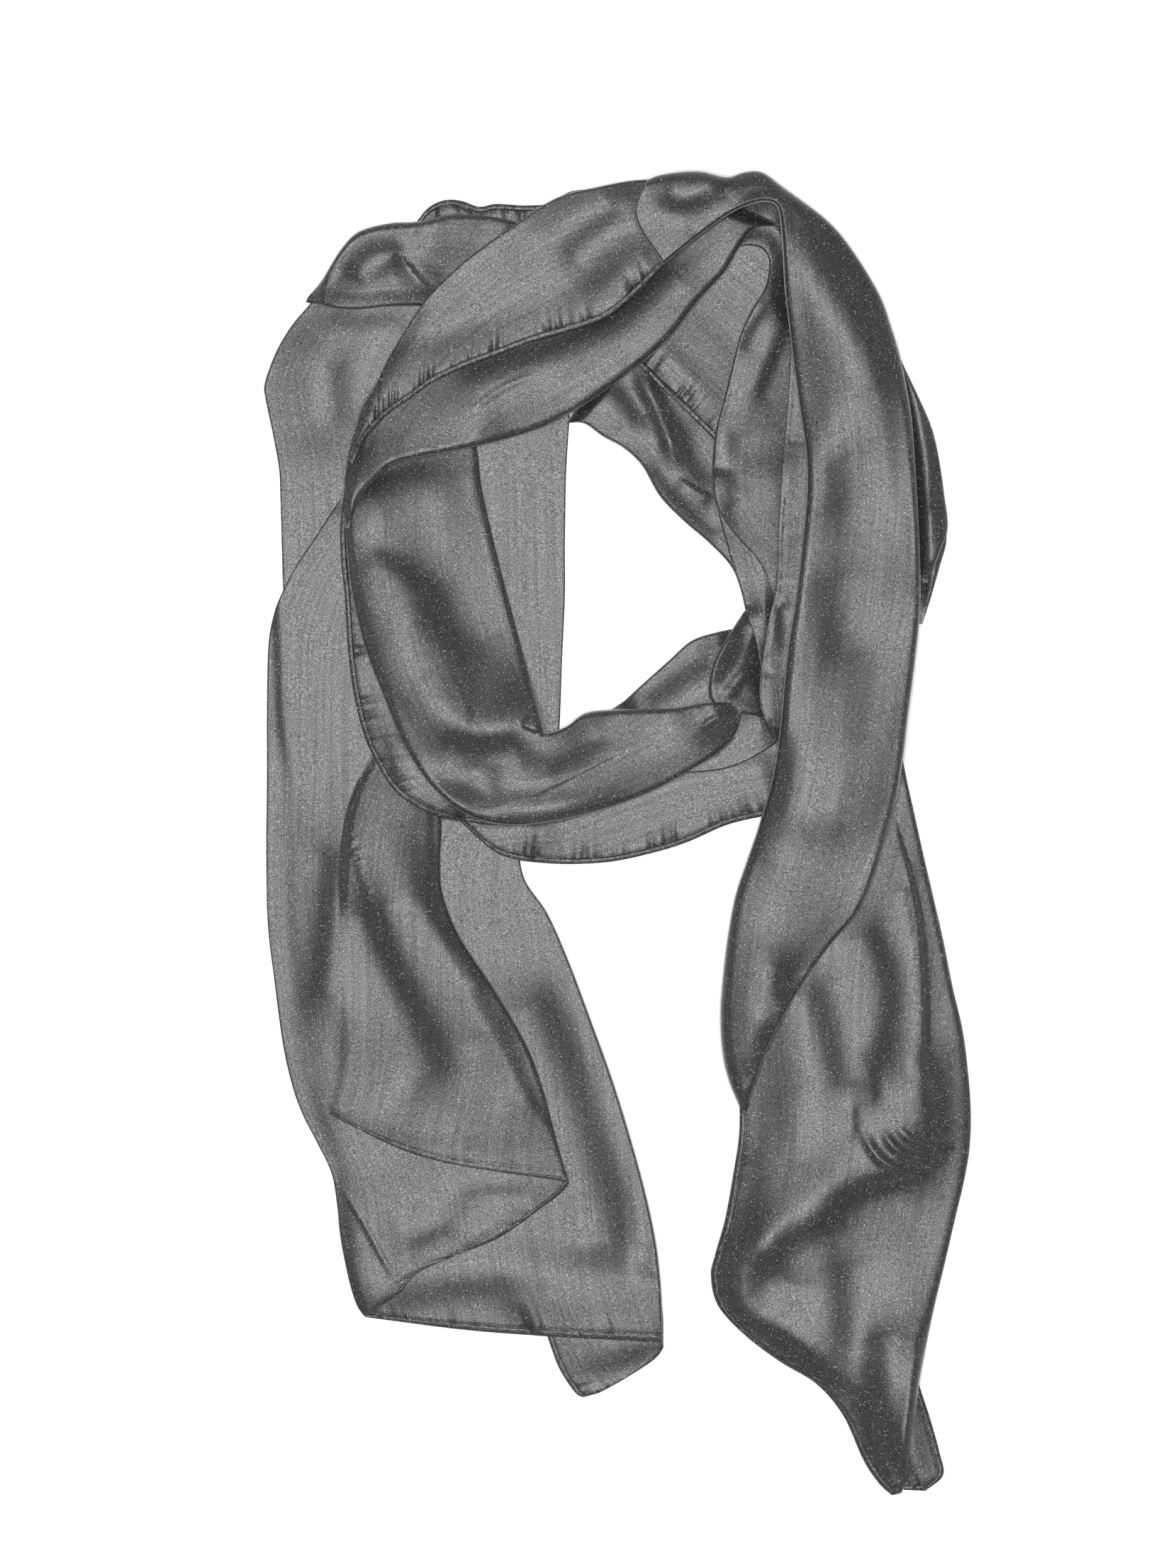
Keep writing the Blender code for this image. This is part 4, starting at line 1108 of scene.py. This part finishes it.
glint_kind = add_node(
    tree, "ShaderNodeSeparateColor", {}, {}, {"Color": glints["Color"]}
).outputs["Red"]
glint_rare = add_node(
    tree, "ShaderNodeMath", {"operation": "GREATER_THAN"}, {1: GLINT_RARE}, {0: glint_kind}
).outputs["Value"]
glint_spot = add_node(
    tree, "ShaderNodeMath", {"operation": "LESS_THAN"}, {1: GLINT_SIZE}, {0: glints["Distance"]}
).outputs["Value"]
painted_glint = add_node(
    tree, "ShaderNodeMath", {"operation": "MULTIPLY"}, {}, {0: glint_rare, 1: glint_spot}
).outputs["Value"]
weave_place = add_node(tree, "ShaderNodeUVMap", {"uv_map": "weave"}).outputs["UV"]
streak_place = add_node(
    tree, "ShaderNodeMapping", {}, {"Scale": STREAKS_PER_METRE}, {"Vector": weave_place}
).outputs["Vector"]
streak = add_node(
    tree, "ShaderNodeTexNoise", {"noise_dimensions": "2D"},
    {"Scale": 1.0, "Detail": 2.0, "Roughness": 0.6}, {"Vector": streak_place},
).outputs["Fac"]
streak_share = add_node(
    tree, "ShaderNodeMapRange", {},
    {"From Min": 0.3, "From Max": 0.7, "To Min": 0.82, "To Max": 1.12}, {"Value": streak},
).outputs["Result"]
print("speckles to a metre:", SPECKLES_PER_METRE)

# %% Stitches beside the hem
STITCH_FROM_EDGE = 0.0025
STITCH_THICK = 0.0003
STITCH_LENGTH = 0.0016
STITCH_GAP = 0.45
hem_uv = add_node(tree, "ShaderNodeUVMap", {"uv_map": "hem"}).outputs["UV"]
hem_parts = add_node(tree, "ShaderNodeSeparateXYZ", {}, {}, {"Vector": hem_uv}).outputs
stitch_line = add_node(
    tree, "ShaderNodeMath", {"operation": "COMPARE"},
    {1: STITCH_FROM_EDGE, 2: STITCH_THICK}, {0: hem_parts["Y"]},
).outputs["Value"]
stitch_beat = add_node(
    tree, "ShaderNodeMath", {"operation": "PINGPONG"}, {1: STITCH_LENGTH}, {0: hem_parts["X"]}
).outputs["Value"]
stitch_on = add_node(
    tree, "ShaderNodeMath", {"operation": "GREATER_THAN"},
    {1: STITCH_GAP * STITCH_LENGTH}, {0: stitch_beat},
).outputs["Value"]
stitch = add_node(
    tree, "ShaderNodeMath", {"operation": "MULTIPLY"}, {}, {0: stitch_line, 1: stitch_on}
).outputs["Value"]
print("stitches:", STITCH_LENGTH / METRE, "mm long")

# %% Satin chiffon
yarn_colour_and_painted_glints = add_node(
    tree, "ShaderNodeMix", {"data_type": "RGBA"},
    {"A": linear("#151516"), "B": linear("#38383a")}, {"Factor": speckle_share},
).outputs["Result"]
# Mixed into the colour: the painted glints, which are bright spots of painted highlight, and the
# dark stitches of the hem's thread.
for share, colour in ((painted_glint, "#9a9a9a"), (stitch, "#1b1b1c")):
    yarn_colour_and_painted_glints = add_node(
        tree, "ShaderNodeMix", {"data_type": "RGBA"},
        {"B": linear(colour)}, {"Factor": share, "A": yarn_colour_and_painted_glints},
    ).outputs["Result"]
float_shine = add_node(
    tree, "ShaderNodeMapRange", {}, {"To Min": 0.26, "To Max": 0.98}, {"Value": speckle_share}
).outputs["Result"]
shine = add_node(
    tree, "ShaderNodeMath", {"operation": "MULTIPLY"}, {}, {0: float_shine, 1: streak_share}
).outputs["Value"]
weave_bump = add_node(
    tree, "ShaderNodeBump", {}, {"Strength": 0.3, "Distance": 0.0002}, {"Height": speckle}
)
shader = add_node(
    tree, "ShaderNodeBsdfPrincipled", {},
    {
        "Roughness": 0.42,
        "Sheen Weight": 0.5,
        "Sheen Roughness": 0.3,
        "Sheen Tint": linear("#c9c9cb"),
    },
    {
        "Base Color": yarn_colour_and_painted_glints,
        "Specular IOR Level": shine,
        "Normal": weave_bump.outputs["Normal"],
    },
)
add_node(tree, "ShaderNodeOutputMaterial", {}, {}, {"Surface": shader.outputs["BSDF"]})
for cloth in cloths:
    cloth.data.materials.append(satin)
print("sheets of satin:", len(cloths))

# %% [markdown]
# The table is plain and pale. One large soft light hangs high above it, a little to the left.
# Satin that faces away from it is dark, as it should be. So four low and weaker lights stand
# round the table, and they show the folds when the scarf is seen from the side.

# %% The table
FLOOR_SIDE = 6.0
floor_shape = bmesh.new()
bmesh.ops.create_grid(floor_shape, x_segments=1, y_segments=1, size=FLOOR_SIDE / 2)
floor_mesh = bpy.data.meshes.new("table_top")
floor_shape.to_mesh(floor_mesh)
floor_shape.free()
floor = bpy.data.objects.new("table_top", floor_mesh)
bpy.context.scene.collection.objects.link(floor)
paper = bpy.data.materials.new("white_paper")
paper.use_nodes = True
paper_inputs = paper.node_tree.nodes["Principled BSDF"].inputs
paper_inputs["Base Color"].default_value = linear("#fafafa")
paper_inputs["Roughness"].default_value = 0.9
paper_inputs["Specular IOR Level"].default_value = 0.1
floor.data.materials.append(paper)
print("table:", FLOOR_SIDE, "m wide")

# %% The camera
FRAME_WIDE = 1659.0
FRAME_HIGH = 2212.0
CAMERA_HIGH = 6.0
CLOTH_HALF_HIGH = 0.006
SENSOR_HIGH = 24.0
middle = on_table((FRAME_WIDE / 2, FRAME_HIGH / 2)) * METRE
view_high = FRAME_HIGH * STEP * METRE
camera_data = bpy.data.cameras.new("from_above")
camera_data.sensor_fit = "VERTICAL"
camera_data.sensor_height = SENSOR_HIGH
camera_data.lens = SENSOR_HIGH * (CAMERA_HIGH - CLOTH_HALF_HIGH) / view_high
camera_data.clip_end = 20.0
camera = bpy.data.objects.new("from_above", camera_data)
camera.location = (middle[0], middle[1], CAMERA_HIGH)
bpy.context.scene.collection.objects.link(camera)
bpy.context.scene.camera = camera
print("camera at", [round(v, 3) for v in camera.location])

# %% Lights
LAMP_WIDE = 2.0
LAMP_WATTS = 344.0
LAMP_PLACE = (-0.15, 0.2, 6.0)
SIDE_LAMPS = 4
SIDE_LAMP_WIDE = 4.0
SIDE_LAMP_TALL = 0.9
SIDE_LAMP_AWAY = 3.0
SIDE_LAMP_HIGH = 1.2
SIDE_LAMP_WATTS = 18.0
WORLD_STRENGTH = 0.15


def soft_light(name, place, wide, tall, watts):
    """A soft light of a given width and height. It shines straight down until it is turned."""
    data = bpy.data.lights.new(name, "AREA")
    data.shape = "RECTANGLE"
    data.size = wide
    data.size_y = tall
    data.energy = watts
    light = bpy.data.objects.new(name, data)
    light.location = place
    bpy.context.scene.collection.objects.link(light)
    return light


soft_light("softbox", LAMP_PLACE, LAMP_WIDE, LAMP_WIDE, LAMP_WATTS)
for number in range(SIDE_LAMPS):
    turn = 2 * math.pi * number / SIDE_LAMPS
    stand = (SIDE_LAMP_AWAY * math.cos(turn), SIDE_LAMP_AWAY * math.sin(turn), SIDE_LAMP_HIGH)
    side = soft_light("side_softbox", stand, SIDE_LAMP_WIDE, SIDE_LAMP_TALL, SIDE_LAMP_WATTS)
    side.rotation_euler = (-side.location).to_track_quat("-Z", "Y").to_euler()
    side.visible_camera = False

world = bpy.data.worlds.new("studio")
world.use_nodes = True
background = world.node_tree.nodes["Background"].inputs
background["Color"].default_value = (1.0, 1.0, 1.0, 1.0)
background["Strength"].default_value = WORLD_STRENGTH
bpy.context.scene.world = world
bpy.context.scene.view_settings.view_transform = "Standard"
print("lights:", 1 + SIDE_LAMPS)
